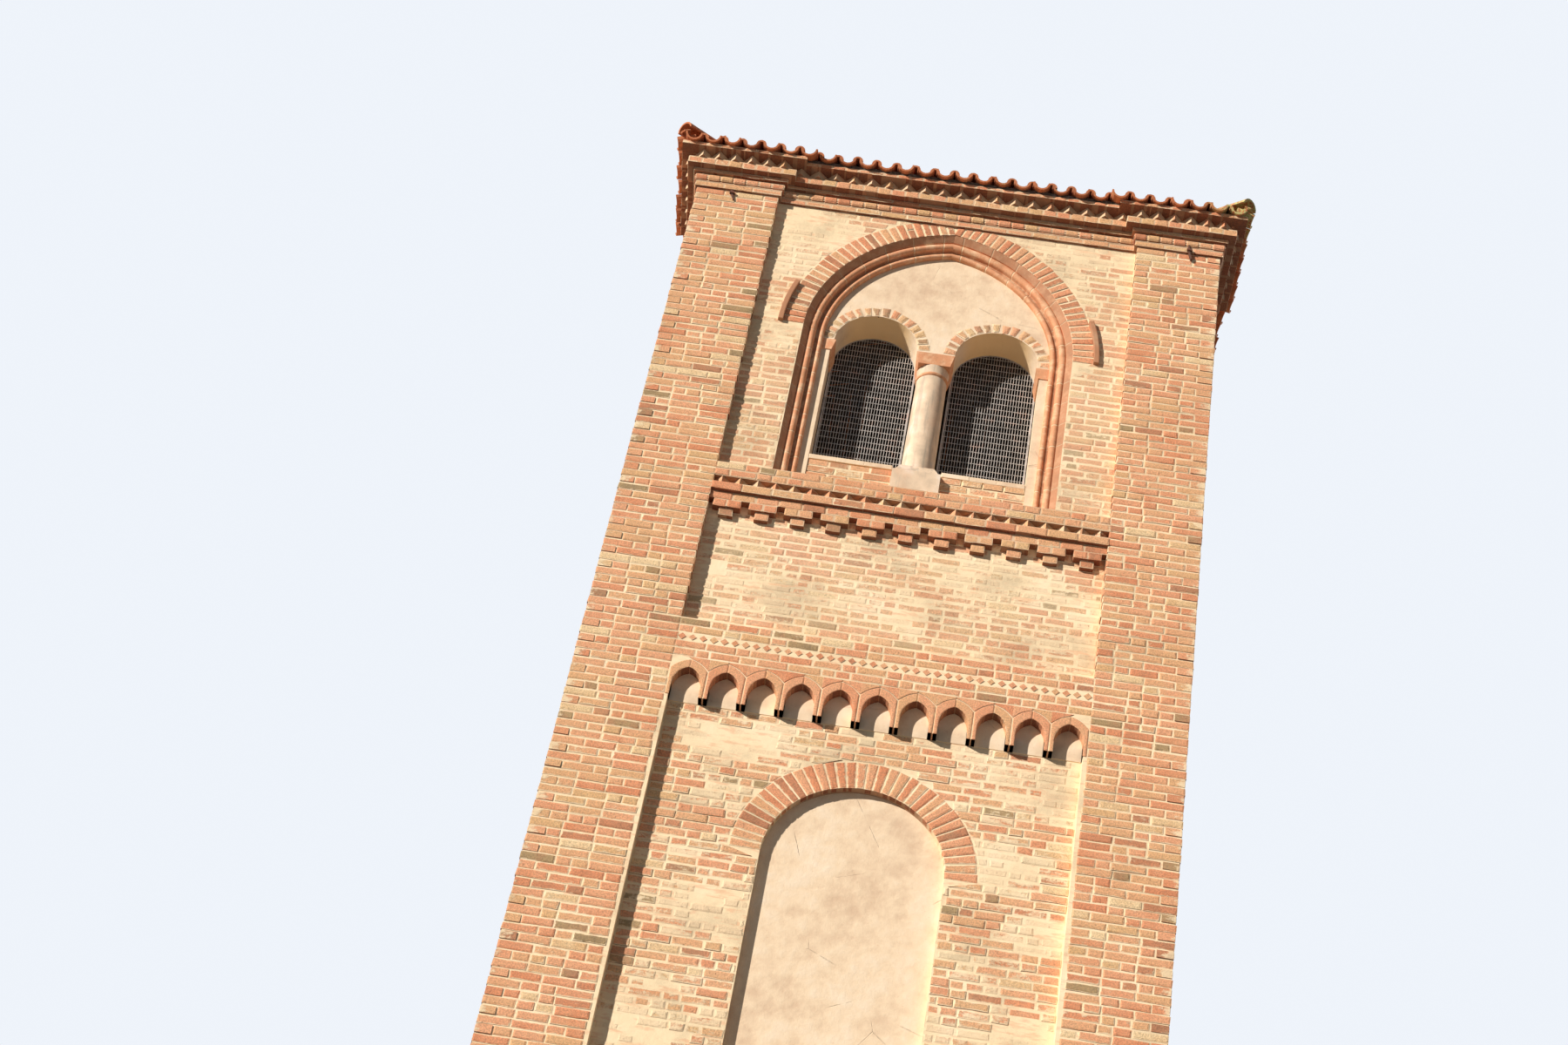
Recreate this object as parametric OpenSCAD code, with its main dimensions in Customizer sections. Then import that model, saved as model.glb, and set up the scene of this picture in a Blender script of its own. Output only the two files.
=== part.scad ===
// Square brick bell tower with a twin window on each side and a low hipped roof.
// Millimetres, +Z up, origin on the ground at the middle of the plan, front face towards -Y.

/* [Plan] */
// Width of the tower over the faces of its corner piers
tower_w = 5000; // [4700:20:5600]
// Width of a corner pier on each face
pier_w = 780; // [700:10:860]
// Thickness of the walls, from the pier faces inwards
wall_t = 600; // [580:10:700]
// How far the belfry walls lie behind the pier faces
belfry_recess = 75; // [50:5:90]
// How far the lower and middle panels lie behind the pier faces
panel_recess = 95; // [70:5:110]
// Width of the lower panels
lower_panel_w = 3360; // [3300:10:3400]

/* [Storeys] */
// Height of the flush base
base_h = 1600; // [800:50:2400]
// Height of the lowest recessed panel
foot_panel_h = 6400; // [4000:50:8000]
// Height of the flush band over the lowest panel
foot_band_h = 400; // [240:10:640]
// Height of the panel with the walled-up window
blind_panel_h = 6000; // [5400:50:7000]
// Height of the band that holds the small hanging arches
arcade_band_h = 800; // [700:10:900]
// Height of the plain panel over the band
plain_panel_h = 1200; // [800:10:1800]
// Height of the belfry walls
belfry_h = 3440; // [3440:10:3800]

/* [Brickwork] */
// Height of one brick course with its joint
course_h = 80; // [74:1:86]
// Width of a brick end
header_w = 118; // [100:2:130]
// Depth that an arch brick reaches into the wall
arch_brick_t = 120; // [80:5:140]

/* [Small arches] */
// Number of small arches on a side
arch_count = 11; // [7:2:11]
// Distance from one small arch to the next
arch_pitch = 311; // [290:1:311]
// Width of a small arch
arch_w = 240; // [200:5:255]
// Height of a small arch below its springing
arch_leg_h = 130; // [80:5:180]
// Height of a small arch over its springing
arch_rise = 165; // [130:5:200]

/* [String course] */
// Number of corbels on a side
corbel_count = 11; // [7:2:11]
// Distance from one corbel to the next
corbel_pitch = 311; // [280:1:315]
// Width of the wide upper part of a corbel
corbel_top_w = 236; // [180:4:250]
// How far the lower part of a corbel stands out of the panel
corbel_out = 47; // [30:1:55]
// How far the upper part of a corbel stands out of the panel
corbel_top_out = 72; // [60:1:80]
// How far the thin course stands out of the panel
thin_course_out = 108; // [100:1:115]
// Teeth of the sawtooth course on a side
string_teeth = 22; // [16:1:26]

/* [Belfry window] */
// Half of the width of the big arched opening
window_half_w = 1260; // [1200:5:1300]
// Height of the big arch's springing over the ledge
window_spring_h = 1900; // [1850:5:1900]
// Distance of the two arch centres from the middle, which makes the point
arch_point = 40; // [20:5:80]
// Width of the ring of radial bricks
ring_w = 232; // [200:2:232]
// Depth of the plain reveal before the first roll
reveal_d = 50; // [40:5:70]
// Radius of the first roll
roll_r = 26; // [20:1:30]
// Width of the flat strip between the reveal and the first roll
reveal_strip_w = 10; // [5:1:15]
// Radius of the second roll
inner_roll_r = 28; // [20:1:30]
// Width of the hollow between the two rolls
hollow_w = 94; // [80:2:110]
// Depth of the hollow behind the reveal
hollow_d = 75; // [60:5:85]
// Depth from the belfry wall to the plastered screen
screen_set_back = 140; // [120:5:160]
// Thickness of the plastered screen with the two lights
screen_t = 300; // [260:10:320]

/* [Twin lights] */
// Half of the width of one light
light_half_w = 385; // [340:5:400]
// Half of the distance between the two lights' middles
light_mid = 560; // [545:5:580]
// Height of the lights' springing over the ledge
light_spring_h = 1870; // [1800:5:1880]
// Height of the sill over the ledge
sill_h = 430; // [300:5:500]
// How far the sill lies behind the screen's face
sill_set_back = 15; // [5:5:40]
// How far a jamb lies outside the edge of its light
jamb_set_back = 20; // [10:5:40]
// Height of the impost blocks and of the capitals
impost_h = 130; // [100:5:150]
// How far the impost blocks stand into a light, at their top
impost_in = 20; // [10:5:40]
// How far the imposts and capitals stand out of the screen's face
impost_out = 10; // [5:5:20]
// How much narrower an impost is at its foot
impost_taper = 28; // [10:2:40]

/* [Column] */
// Radius of the shaft at its foot
shaft_foot_r = 150; // [120:5:150]
// Radius of the shaft under the ring
shaft_neck_r = 140; // [110:5:145]
// Height of the ring round the neck
ring_h = 45; // [30:5:60]
// How far the ring stands out of the neck
ring_out = 14; // [8:1:20]
// Height of the bell between the ring and the capital
bell_h = 85; // [60:5:110]
// Height of the square plinth over the ledge
plinth_h = 350; // [250:5:380]
// Half of the width of the plinth
plinth_half_w = 215; // [200:5:240]
// Width of the ledge that the plinth shows round the tapered block
plinth_ledge_w = 15; // [5:1:30]
// Height of the tapered block on the plinth
base_taper_h = 110; // [80:5:140]

/* [Hood mould stubs] */
// Width of a stub
stub_w = 46; // [30:2:60]
// How far a stub stands out of the wall
stub_out = 42; // [30:2:60]
// Angle that a stub covers, from the springing up
stub_angle = 21; // [15:1:30]

/* [Walled-up window] */
// Half of the width of the walled-up window
blind_half_w = 720; // [640:10:780]
// Height of its springing below the arcade band
blind_spring_drop = 1290; // [1250:10:1500]
// Height of its straight sides
blind_side_h = 1800; // [1400:20:2200]
// Width of its brick arch
blind_ring_w = 250; // [230:5:260]
// How far the plaster lies behind the panel
blind_set_back = 70; // [40:5:100]
// Thickness of the plastered infill
blind_infill_t = 140; // [100:10:200]

/* [Cornice] */
// Height of the lowest cornice course
lower_course_h = 60; // [50:2:70]
// Height of the rounded cornice course
round_course_h = 100; // [80:2:110]
// Height of the thin cornice course
thin_course_h = 40; // [35:1:50]
// Height of the thick cornice course
thick_course_h = 80; // [70:2:90]
// Height of the cornice's sawtooth course
saw_course_h = 75; // [65:1:90]
// Height of the flat course under the tiles
eaves_course_h = 40; // [30:1:50]
// How far the lowest cornice course stands out
lower_course_out = 25; // [15:1:30]
// How far the rounded cornice course stands out
round_course_out = 44; // [35:1:50]
// How far the nose of the rounded course stands out of its edges
round_nose_out = 24; // [12:1:30]
// Slices that make the nose of the rounded course
nose_slices = 5; // [3:2:9]
// How far the thin cornice course stands out
thin_cornice_out = 64; // [55:1:75]
// How far the thick cornice course stands out
thick_course_out = 130; // [110:2:140]
// How far the tips of the cornice's teeth stand out
saw_course_out = 165; // [145:1:175]
// How far the flat course under the tiles stands out
eaves_course_out = 215; // [190:5:230]
// Cornice teeth over a pier
pier_teeth = 6; // [5:1:7]
// Cornice teeth over a panel
panel_teeth = 19; // [16:1:22]

/* [Roof] */
// How far the roof stands out of the pier faces
roof_out = 300; // [260:5:340]
// How far the roof's edge steps back over the panels
roof_step = 60; // [30:5:70]
// Rise of the roof from its edge to its top
roof_rise = 952; // [728:28:1176]
// Thickness of the roof, measured straight up
roof_t = 140; // [120:5:160]
// Radius of the hip cap tiles
hip_r = 95; // [80:5:110]

/* [Floor] */
// Thickness of the belfry floor
floor_t = 160; // [120:10:240]
// Depth of the belfry floor's top below the ledge
floor_drop = 120; // [60:10:300]
// Width of the square hatch in the belfry floor
hatch_w = 800; // [600:50:1000]
// Distance of the hatch from the walls
hatch_edge = 250; // [150:50:500]

/* [Hidden] */
$fn = 48;
// Fineness of the large arches
arc_fn = 192;
brick = "#c98a62";
red_brick = "#b5603c";
mortar_brick = "#d8b48c";
plaster = "#e2cba4";
light_stone = "#d9cdb4";
roof_tile = "#8a4a2c";
boards = "#8c7458";

half_w = tower_w / 2;
panel_w = tower_w - 2 * pier_w;
inner_half = half_w - wall_t;
z_foot_band = base_h + foot_panel_h;
z_blind_panel = z_foot_band + foot_band_h;
z_arcade = z_blind_panel + blind_panel_h;
z_plain_panel = z_arcade + arcade_band_h;
z_string = z_plain_panel + plain_panel_h;
string_h = 7 * course_h;
z_ledge = z_string + string_h;
z_cornice = z_ledge + belfry_h;
z_round = z_cornice + lower_course_h;
z_thin = z_round + round_course_h;
z_thick = z_thin + thin_course_h;
z_saw = z_thick + thick_course_h;
z_eaves = z_saw + saw_course_h;
z_roof = z_eaves + eaves_course_h;

z_spring = z_ledge + window_spring_h;
z_light_spring = z_ledge + light_spring_h;
z_sill = z_ledge + sill_h;
screen_y = belfry_recess + screen_set_back;
screen_back = screen_y + screen_t;
rolls_w = 2 * roll_r + reveal_strip_w;
surround_in = window_half_w - rolls_w - hollow_w - 2 * inner_roll_r;
light_out = light_mid + light_half_w;
jamb_in = light_out + jamb_set_back;
impost_edge = light_out - impost_in;
z_impost = z_light_spring - impost_h;
capital_half_w = light_mid - light_half_w;
column_y = screen_back - shaft_foot_r;
z_blind_spring = z_arcade - blind_spring_drop;
roof_half = half_w + roof_out;
roof_k = roof_rise / roof_half;
tooth_d = header_w * sin(45);
// A cut runs this far past the face that it opens
past = 20;

// Children are drawn on one side of the tower: x along the face, y into the wall from the pier face
module on_side(i) {
    rotate([0, 0, 90 * i]) translate([0, -half_w, 0]) children();
}

module on_all_sides() {
    for (i = [0:3]) on_side(i) children();
}

// A flat shape in x and z gets its depth, from y0 to y1
module deep(y0, y1) {
    translate([0, y1, 0]) rotate([90, 0, 0]) linear_extrude(y1 - y0) children();
}

// Head of a pointed arch that springs at zs; with a point of 0 it is round
module pointed_head(half, point, zs) {
    intersection() {
        translate([point, zs]) circle(half + point, $fn = arc_fn);
        translate([-point, zs]) circle(half + point, $fn = arc_fn);
        translate([-half, zs]) square([2 * half, 2 * half]);
    }
}

// Pointed opening with its foot at z0 and its springing at zs
module pointed_shape(half, point, z0, zs) {
    union() {
        pointed_head(half, point, zs);
        translate([-half, z0]) square([2 * half, zs - z0]);
    }
}

// Corner pier, with the wall corner behind it
module pier(turn) {
    color(brick) rotate([0, 0, 90 * turn]) difference() {
        translate([-half_w, -half_w, 0]) cube([pier_w, pier_w, z_cornice]);
        translate([-inner_half, -inner_half, -past])
            cube([pier_w, pier_w, z_cornice + 2 * past]);
    }
}

module lower_wall(i) {
    color(mortar_brick) on_side(i) difference() {
        translate([-panel_w / 2, 0, 0]) cube([panel_w, wall_t, z_plain_panel]);
        translate([-lower_panel_w / 2, -past, base_h])
            cube([lower_panel_w, panel_recess + past, foot_panel_h]);
        translate([-lower_panel_w / 2, -past, z_blind_panel])
            cube([lower_panel_w, panel_recess + past, blind_panel_h + past]);
        translate([-panel_w / 2 - past, -past, z_arcade])
            cube([panel_w + 2 * past, panel_recess + past, arcade_band_h + past]);
        deep(panel_recess - past, panel_recess + blind_set_back + blind_infill_t)
            blind_window_shape(blind_half_w);
        deep(panel_recess - past, panel_recess + arch_brick_t) blind_ring_shape();
    }
}

module blind_window_shape(half) {
    pointed_shape(half, 0, z_blind_spring - blind_side_h, z_blind_spring);
}

module blind_ring_shape() {
    difference() {
        pointed_head(blind_half_w + blind_ring_w, 0, z_blind_spring);
        translate([0, z_blind_spring]) circle(blind_half_w, $fn = arc_fn);
    }
}

module relieving_arches() {
    color(red_brick) on_all_sides() deep(panel_recess, panel_recess + arch_brick_t)
        blind_ring_shape();
}

module blind_window_infills() {
    color(plaster) on_all_sides()
        deep(panel_recess + blind_set_back, panel_recess + blind_set_back + blind_infill_t)
            blind_window_shape(blind_half_w);
}

// Band with small pointed arches that hang over the lower panel
module arcade_bands() {
    half = arch_w / 2;
    point = (arch_rise * arch_rise - half * half) / arch_w;
    z_arch_spring = z_arcade + arch_leg_h;
    color(red_brick) on_all_sides() difference() {
        translate([-panel_w / 2, 0, z_arcade]) cube([panel_w, panel_recess, arcade_band_h]);
        deep(-past, panel_recess + past) for (k = [0:arch_count - 1])
            translate([(k - (arch_count - 1) / 2) * arch_pitch, 0])
                pointed_shape(half, point, z_arcade - past, z_arch_spring);
    }
}

module middle_wall(i) {
    color(mortar_brick) on_side(i) translate([-panel_w / 2, panel_recess, z_plain_panel])
        cube([panel_w, wall_t - panel_recess, z_ledge - z_plain_panel]);
}

// Stepped corbels, flat course, thin course, sawtooth course and the ledge
module string_courses() {
    flat_y = panel_recess - corbel_top_out;
    tooth_run = panel_w / string_teeth;
    color(brick) on_all_sides() {
        for (k = [0:corbel_count - 1]) translate([(k - (corbel_count - 1) / 2) * corbel_pitch, 0, 0]) {
            translate([-header_w / 2, panel_recess - corbel_out, z_string])
                cube([header_w, corbel_out, course_h]);
            translate([-corbel_top_w / 2, flat_y, z_string + course_h])
                cube([corbel_top_w, corbel_top_out, course_h]);
        }
        translate([-panel_w / 2, flat_y, z_string + 2 * course_h])
            cube([panel_w, corbel_top_out, course_h]);
        translate([-panel_w / 2, panel_recess - thin_course_out, z_string + 3 * course_h])
            cube([panel_w, thin_course_out, course_h]);
        translate([0, 0, z_string + 4 * course_h]) linear_extrude(course_h)
            polygon(concat(
                [[-panel_w / 2, panel_recess]],
                saw_points(-panel_w / 2, panel_w / 2, string_teeth, tooth_d),
                [[panel_w / 2, tooth_d], [panel_w / 2, panel_recess]]
            ));
        translate([-panel_w / 2, 0, z_string + 5 * course_h])
            cube([panel_w, panel_recess, 2 * course_h]);
    }
}

// Valley and tip of each of n teeth along x, with the valleys at y and the tips tooth_d before it
function saw_points(x0, x1, n, y) = [
    for (k = [0:n - 1]) each [
        [x0 + (x1 - x0) * k / n, y],
        [x0 + (x1 - x0) * (k + 0.5) / n, y - tooth_d]
    ]
];

module belfry_wall(i) {
    color(mortar_brick) on_side(i) difference() {
        translate([-panel_w / 2, belfry_recess, z_ledge])
            cube([panel_w, wall_t - belfry_recess, belfry_h]);
        deep(belfry_recess - past, wall_t + past) window_shape(window_half_w, z_ledge - past);
        deep(belfry_recess - past, belfry_recess + arch_brick_t)
            pointed_head(window_half_w + ring_w, arch_point, z_spring);
    }
}

module window_shape(half, z0) {
    pointed_shape(half, arch_point, z0, z_spring);
}

module window_arch_rings() {
    color(red_brick) on_all_sides() deep(belfry_recess, belfry_recess + arch_brick_t)
        difference() {
            pointed_head(window_half_w + ring_w, arch_point, z_spring);
            window_shape(window_half_w, z_spring - past);
        }
}

// Section of the moulded surround: x from the middle of the window, y into the wall
module surround_section() {
    roll_x = window_half_w - reveal_strip_w - roll_r;
    roll_y = belfry_recess + reveal_d + roll_r;
    hollow_x = window_half_w - rolls_w - hollow_w;
    inner_roll_x = surround_in + inner_roll_r;
    inner_roll_y = screen_y - inner_roll_r;
    union() {
        translate([roll_x, roll_y]) circle(roll_r);
        translate([window_half_w - rolls_w, roll_y]) square([rolls_w, wall_t - roll_y]);
        translate([hollow_x, belfry_recess + reveal_d + hollow_d])
            square([hollow_w, wall_t - belfry_recess - reveal_d - hollow_d]);
        translate([inner_roll_x, inner_roll_y]) circle(inner_roll_r);
        translate([surround_in, inner_roll_y])
            square([2 * inner_roll_r, wall_t - inner_roll_y]);
    }
}

module window_surrounds() {
    color(red_brick) on_all_sides() for (m = [0, 1]) mirror([m, 0, 0]) {
        intersection() {
            translate([-arch_point, 0, z_spring]) rotate([90, 0, 0])
                rotate_extrude(angle = 90, $fn = arc_fn) translate([arch_point, 0]) mirror([0, 1])
                    surround_section();
            translate([0, 0, z_spring])
                cube([2 * window_half_w, 2 * wall_t, 2 * window_half_w]);
        }
        translate([0, 0, z_ledge]) linear_extrude(window_spring_h) surround_section();
    }
}

// Short ends of a hood mould beside the arch
module hood_stubs() {
    color(red_brick) on_all_sides() for (m = [0, 1]) mirror([m, 0, 0])
        translate([-arch_point, 0, z_spring]) rotate([90, 0, 0])
            rotate_extrude(angle = stub_angle, $fn = arc_fn)
                translate([arch_point + window_half_w + ring_w - stub_w / 2, -belfry_recess])
                    square([stub_w, stub_out]);
}

// Plastered wall inside the big arch, over the two lights
module tympana() {
    color(plaster) on_all_sides() deep(screen_y, screen_back) difference() {
        window_shape(surround_in, z_light_spring);
        for (side = [-1, 1]) translate([side * light_mid, z_light_spring]) circle(light_half_w, $fn = arc_fn);
    }
}

module window_jambs() {
    color(plaster) on_all_sides() for (m = [0, 1]) mirror([m, 0, 0])
        translate([jamb_in, screen_y, z_ledge])
            cube([surround_in - jamb_in, screen_t, z_impost - z_ledge]);
}

module jamb_imposts() {
    color(red_brick) on_all_sides() for (m = [0, 1]) mirror([m, 0, 0])
        deep(screen_y - impost_out, screen_back) polygon([
            [surround_in, z_impost], [surround_in, z_light_spring],
            [impost_edge, z_light_spring], [impost_edge + impost_taper, z_impost]
        ]);
}

module window_sills() {
    color(mortar_brick) on_all_sides() for (m = [0, 1]) mirror([m, 0, 0])
        translate([plinth_half_w, screen_y + sill_set_back, z_ledge])
            cube([jamb_in - plinth_half_w, screen_t - sill_set_back, sill_h]);
}

// Shaft with its bell, turned as one piece
module window_columns() {
    z_foot = z_ledge + plinth_h + base_taper_h;
    z_bell = z_impost - bell_h;
    z_ring = z_bell - ring_h;
    color(light_stone) on_all_sides() translate([0, column_y, 0]) rotate_extrude() polygon([
        [0, z_foot], [shaft_foot_r, z_foot], [shaft_neck_r, z_ring],
        [shaft_neck_r, z_bell], [shaft_foot_r, z_impost], [0, z_impost]
    ]);
}

module column_rings() {
    z_ring = z_impost - bell_h - ring_h;
    color(red_brick) on_all_sides() translate([0, column_y, z_ring]) rotate_extrude()
        translate([shaft_neck_r, 0]) intersection() {
            square([ring_out, ring_h]);
            translate([ring_out - ring_h / 2, ring_h / 2]) circle(ring_h / 2);
        }
}

// Capital: a block as deep as the screen, tapered on all sides to the bell
module column_capitals() {
    foot_half = capital_half_w - impost_taper;
    color(red_brick) on_all_sides() intersection() {
        deep(screen_y - impost_out, screen_back) polygon([
            [-foot_half, z_impost], [foot_half, z_impost],
            [capital_half_w, z_light_spring], [-capital_half_w, z_light_spring]
        ]);
        translate([-capital_half_w, 0, 0]) rotate([90, 0, 90]) linear_extrude(2 * capital_half_w)
            polygon([
                [column_y - foot_half, z_impost], [screen_back, z_impost],
                [screen_back, z_light_spring], [screen_y - impost_out, z_light_spring]
            ]);
    }
}

// Plinth with the tapered block that carries the shaft
module column_bases() {
    z_plinth = z_ledge + plinth_h;
    z_top = z_plinth + base_taper_h;
    front_y = column_y - plinth_half_w;
    taper_half = plinth_half_w - plinth_ledge_w;
    color(light_stone) on_all_sides() union() {
        translate([-plinth_half_w, front_y, z_ledge])
            cube([2 * plinth_half_w, screen_back - front_y, plinth_h]);
        intersection() {
            deep(front_y, screen_back) polygon([
                [-taper_half, z_plinth], [taper_half, z_plinth],
                [shaft_foot_r, z_top], [-shaft_foot_r, z_top]
            ]);
            translate([-plinth_half_w, 0, 0]) rotate([90, 0, 90])
                linear_extrude(2 * plinth_half_w) polygon([
                    [column_y - taper_half, z_plinth], [screen_back, z_plinth],
                    [screen_back, z_top], [column_y - shaft_foot_r, z_top]
                ]);
        }
    }
}

// Plan of a cornice course that stands out by out, stepped back over the panels
module cornice_plan(out) {
    union() {
        square(tower_w - 2 * belfry_recess + 2 * out, center = true);
        for (sx = [-1, 1], sy = [-1, 1])
            translate([sx * (half_w - pier_w / 2), sy * (half_w - pier_w / 2)])
                square(pier_w + 2 * out, center = true);
    }
}

module cornice_course(out, z0, h) {
    translate([0, 0, z0]) linear_extrude(h) difference() {
        cornice_plan(out);
        square(2 * inner_half, center = true);
    }
}

module cornice_lower_course() {
    color(brick) cornice_course(lower_course_out, z_cornice, lower_course_h);
}

// Course of bricks with rounded faces, in slices that follow the nose of the bricks
module cornice_round_course() {
    slice_h = round_course_h / nose_slices;
    color(red_brick) for (k = [0:nose_slices - 1])
        cornice_course(nose_out(k), z_round + k * slice_h, slice_h);
}

// How far slice k of the nose stands out, on a quarter turn up and a quarter turn down
function nose_out(k) =
    round_course_out - round_nose_out * (1 - sin(180 * (k + 0.5) / nose_slices));

module cornice_thin_course() {
    color(brick) cornice_course(thin_cornice_out, z_thin, thin_course_h);
}

module cornice_thick_course() {
    color(brick) cornice_course(thick_course_out, z_thick, thick_course_h);
}

// Outline of the sawtooth course on one side, from corner to corner
function saw_side(y, y_panel, x_block, x_out) = concat(
    saw_points(-x_out, -x_block, pier_teeth, y),
    [[-x_block, y]],
    saw_points(-x_block, x_block, panel_teeth, y_panel),
    [[x_block, y_panel]],
    saw_points(x_block, x_out, pier_teeth, y)
);

function turned(points, i) = [
    for (p = points) [
        p[0] * cos(90 * i) - p[1] * sin(90 * i),
        p[0] * sin(90 * i) + p[1] * cos(90 * i)
    ]
];

module cornice_sawtooth() {
    valley = half_w + saw_course_out - tooth_d;
    x_block = half_w - pier_w - saw_course_out + tooth_d;
    side = saw_side(-valley, -valley + belfry_recess, x_block, valley);
    color(brick) translate([0, 0, z_saw]) linear_extrude(saw_course_h) difference() {
        polygon([for (i = [0:3]) each turned(side, i)]);
        square(2 * inner_half, center = true);
    }
}

module eaves_course() {
    color(red_brick) cornice_course(eaves_course_out, z_eaves, eaves_course_h);
}

// Section of one roof slope: y from the middle of the tower outwards, z up
module roof_section() {
    z_edge = z_roof - roof_k * (roof_out - eaves_course_out);
    z_top = z_edge + roof_k * roof_half;
    z_inner = z_edge + roof_k * (roof_half - inner_half);
    polygon([
        [-roof_half, z_edge], [-roof_half, z_edge + roof_t], [0, z_top + roof_t], [0, z_top],
        [-inner_half, z_inner], [-inner_half, z_roof], [-half_w - eaves_course_out, z_roof]
    ]);
}

module roof_slope(i) {
    z_edge = z_roof - roof_k * (roof_out - eaves_course_out);
    step_half = half_w - pier_w - roof_out + roof_step;
    color(roof_tile) rotate([0, 0, 90 * i]) difference() {
        intersection() {
            translate([-roof_half, 0, 0]) rotate([90, 0, 90]) linear_extrude(2 * roof_half)
                roof_section();
            translate([0, 0, z_edge - past]) linear_extrude(2 * roof_half)
                polygon([[0, 0], [-roof_half, -roof_half], [roof_half, -roof_half]]);
        }
        translate([-step_half, -roof_half - past, z_edge - past])
            cube([2 * step_half, roof_step + past, roof_t * 2 + past]);
    }
}

// Everything under the roof's top face, to shape the hip caps' undersides
module under_roof() {
    z_edge = z_roof - roof_k * (roof_out - eaves_course_out);
    z_top = z_edge + roof_k * roof_half;
    intersection_for(i = [0, 1]) rotate([0, 0, 90 * i])
        translate([-2 * roof_half, 0, 0]) rotate([90, 0, 90]) linear_extrude(4 * roof_half)
            polygon([
                [-2 * roof_half, 0], [-2 * roof_half, z_top + roof_t - 2 * roof_k * roof_half],
                [0, z_top + roof_t], [2 * roof_half, z_top + roof_t - 2 * roof_k * roof_half],
                [2 * roof_half, 0]
            ]);
}

module hip_caps() {
    z_edge = z_roof - roof_k * (roof_out - eaves_course_out) + roof_t;
    hip_run = roof_half * sqrt(2);
    hip_slope = atan(roof_k / sqrt(2));
    color(roof_tile) for (i = [0:3]) rotate([0, 0, 45 + 90 * i]) difference() {
        intersection() {
            translate([-hip_run, 0, z_edge]) rotate([0, 90 - hip_slope, 0])
                translate([0, 0, -hip_r]) cylinder(r = hip_r, h = 2 * hip_run);
            rotate([0, 0, -45]) translate([-roof_half, -roof_half, 0])
                cube([roof_half, roof_half, 2 * z_edge]);
        }
        rotate([0, 0, 45]) under_roof();
    }
}

// Floor with its hatch in the back left corner
module belfry_floor() {
    z_under = z_ledge - floor_drop - floor_t;
    color(boards) difference() {
        translate([-inner_half, -inner_half, z_under]) cube([2 * inner_half, 2 * inner_half, floor_t]);
        translate([-inner_half + hatch_edge, inner_half - hatch_edge - hatch_w, z_under - past])
            cube([hatch_w, hatch_w, floor_t + 2 * past]);
    }
}

pier(0);  // front_left_pier
pier(1);  // front_right_pier
pier(2);  // back_right_pier
pier(3);  // back_left_pier
lower_wall(0);  // front_lower_wall
lower_wall(1);  // right_lower_wall
lower_wall(2);  // back_lower_wall
lower_wall(3);  // left_lower_wall
relieving_arches();
blind_window_infills();
arcade_bands();
middle_wall(0);  // front_middle_wall
middle_wall(1);  // right_middle_wall
middle_wall(2);  // back_middle_wall
middle_wall(3);  // left_middle_wall
string_courses();
belfry_wall(0);  // front_belfry_wall
belfry_wall(1);  // right_belfry_wall
belfry_wall(2);  // back_belfry_wall
belfry_wall(3);  // left_belfry_wall
window_arch_rings();
window_surrounds();
hood_stubs();
tympana();
window_jambs();
jamb_imposts();
window_sills();
window_columns();
column_rings();
column_capitals();
column_bases();
cornice_lower_course();
cornice_round_course();
cornice_thin_course();
cornice_thick_course();
cornice_sawtooth();
eaves_course();
roof_slope(0);  // front_roof
roof_slope(1);  // right_roof
roof_slope(2);  // back_roof
roof_slope(3);  // left_roof
hip_caps();
belfry_floor();
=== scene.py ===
"""Brick bell tower: dresses the tower's frame with bricks, mouldings, roof tiles and wire mesh."""
import math
import random

import bpy
import numpy as np
from bpy.props import FloatProperty, FloatVectorProperty, IntProperty, PointerProperty
from mathutils import Matrix, Vector, noise


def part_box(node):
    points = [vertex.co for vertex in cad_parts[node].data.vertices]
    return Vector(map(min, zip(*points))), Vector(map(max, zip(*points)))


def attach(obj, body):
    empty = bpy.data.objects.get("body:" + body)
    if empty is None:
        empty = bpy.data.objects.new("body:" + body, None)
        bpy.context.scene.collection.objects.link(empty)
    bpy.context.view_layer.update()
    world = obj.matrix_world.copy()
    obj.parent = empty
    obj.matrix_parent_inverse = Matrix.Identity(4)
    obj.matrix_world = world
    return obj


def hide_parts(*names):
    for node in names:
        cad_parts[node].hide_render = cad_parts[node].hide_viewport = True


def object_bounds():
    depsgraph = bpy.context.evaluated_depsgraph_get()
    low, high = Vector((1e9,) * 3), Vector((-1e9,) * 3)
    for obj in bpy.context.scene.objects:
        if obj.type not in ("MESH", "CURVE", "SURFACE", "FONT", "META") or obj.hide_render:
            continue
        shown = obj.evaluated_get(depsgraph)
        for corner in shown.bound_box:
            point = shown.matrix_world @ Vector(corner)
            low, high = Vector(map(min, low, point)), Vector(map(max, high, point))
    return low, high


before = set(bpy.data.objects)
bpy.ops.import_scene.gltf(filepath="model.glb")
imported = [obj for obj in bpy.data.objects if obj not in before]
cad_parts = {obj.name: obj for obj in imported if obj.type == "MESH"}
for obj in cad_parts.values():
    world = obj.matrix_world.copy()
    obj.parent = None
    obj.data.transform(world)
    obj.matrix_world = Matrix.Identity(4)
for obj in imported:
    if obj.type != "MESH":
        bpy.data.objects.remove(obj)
CAD_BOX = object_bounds()

bl_info = {
    "name": "Brick Bell Tower",
    "version": (1, 0, 0),
    "blender": (4, 5, 0),
    "location": "3D View > Sidebar > Bell Tower",
    "description": "Dresses a brick bell tower with bricks, mouldings, roof tiles and wire mesh",
    "category": "Object",
}

BODY = "root"
SIDES = ("front", "right", "back", "left")

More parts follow.
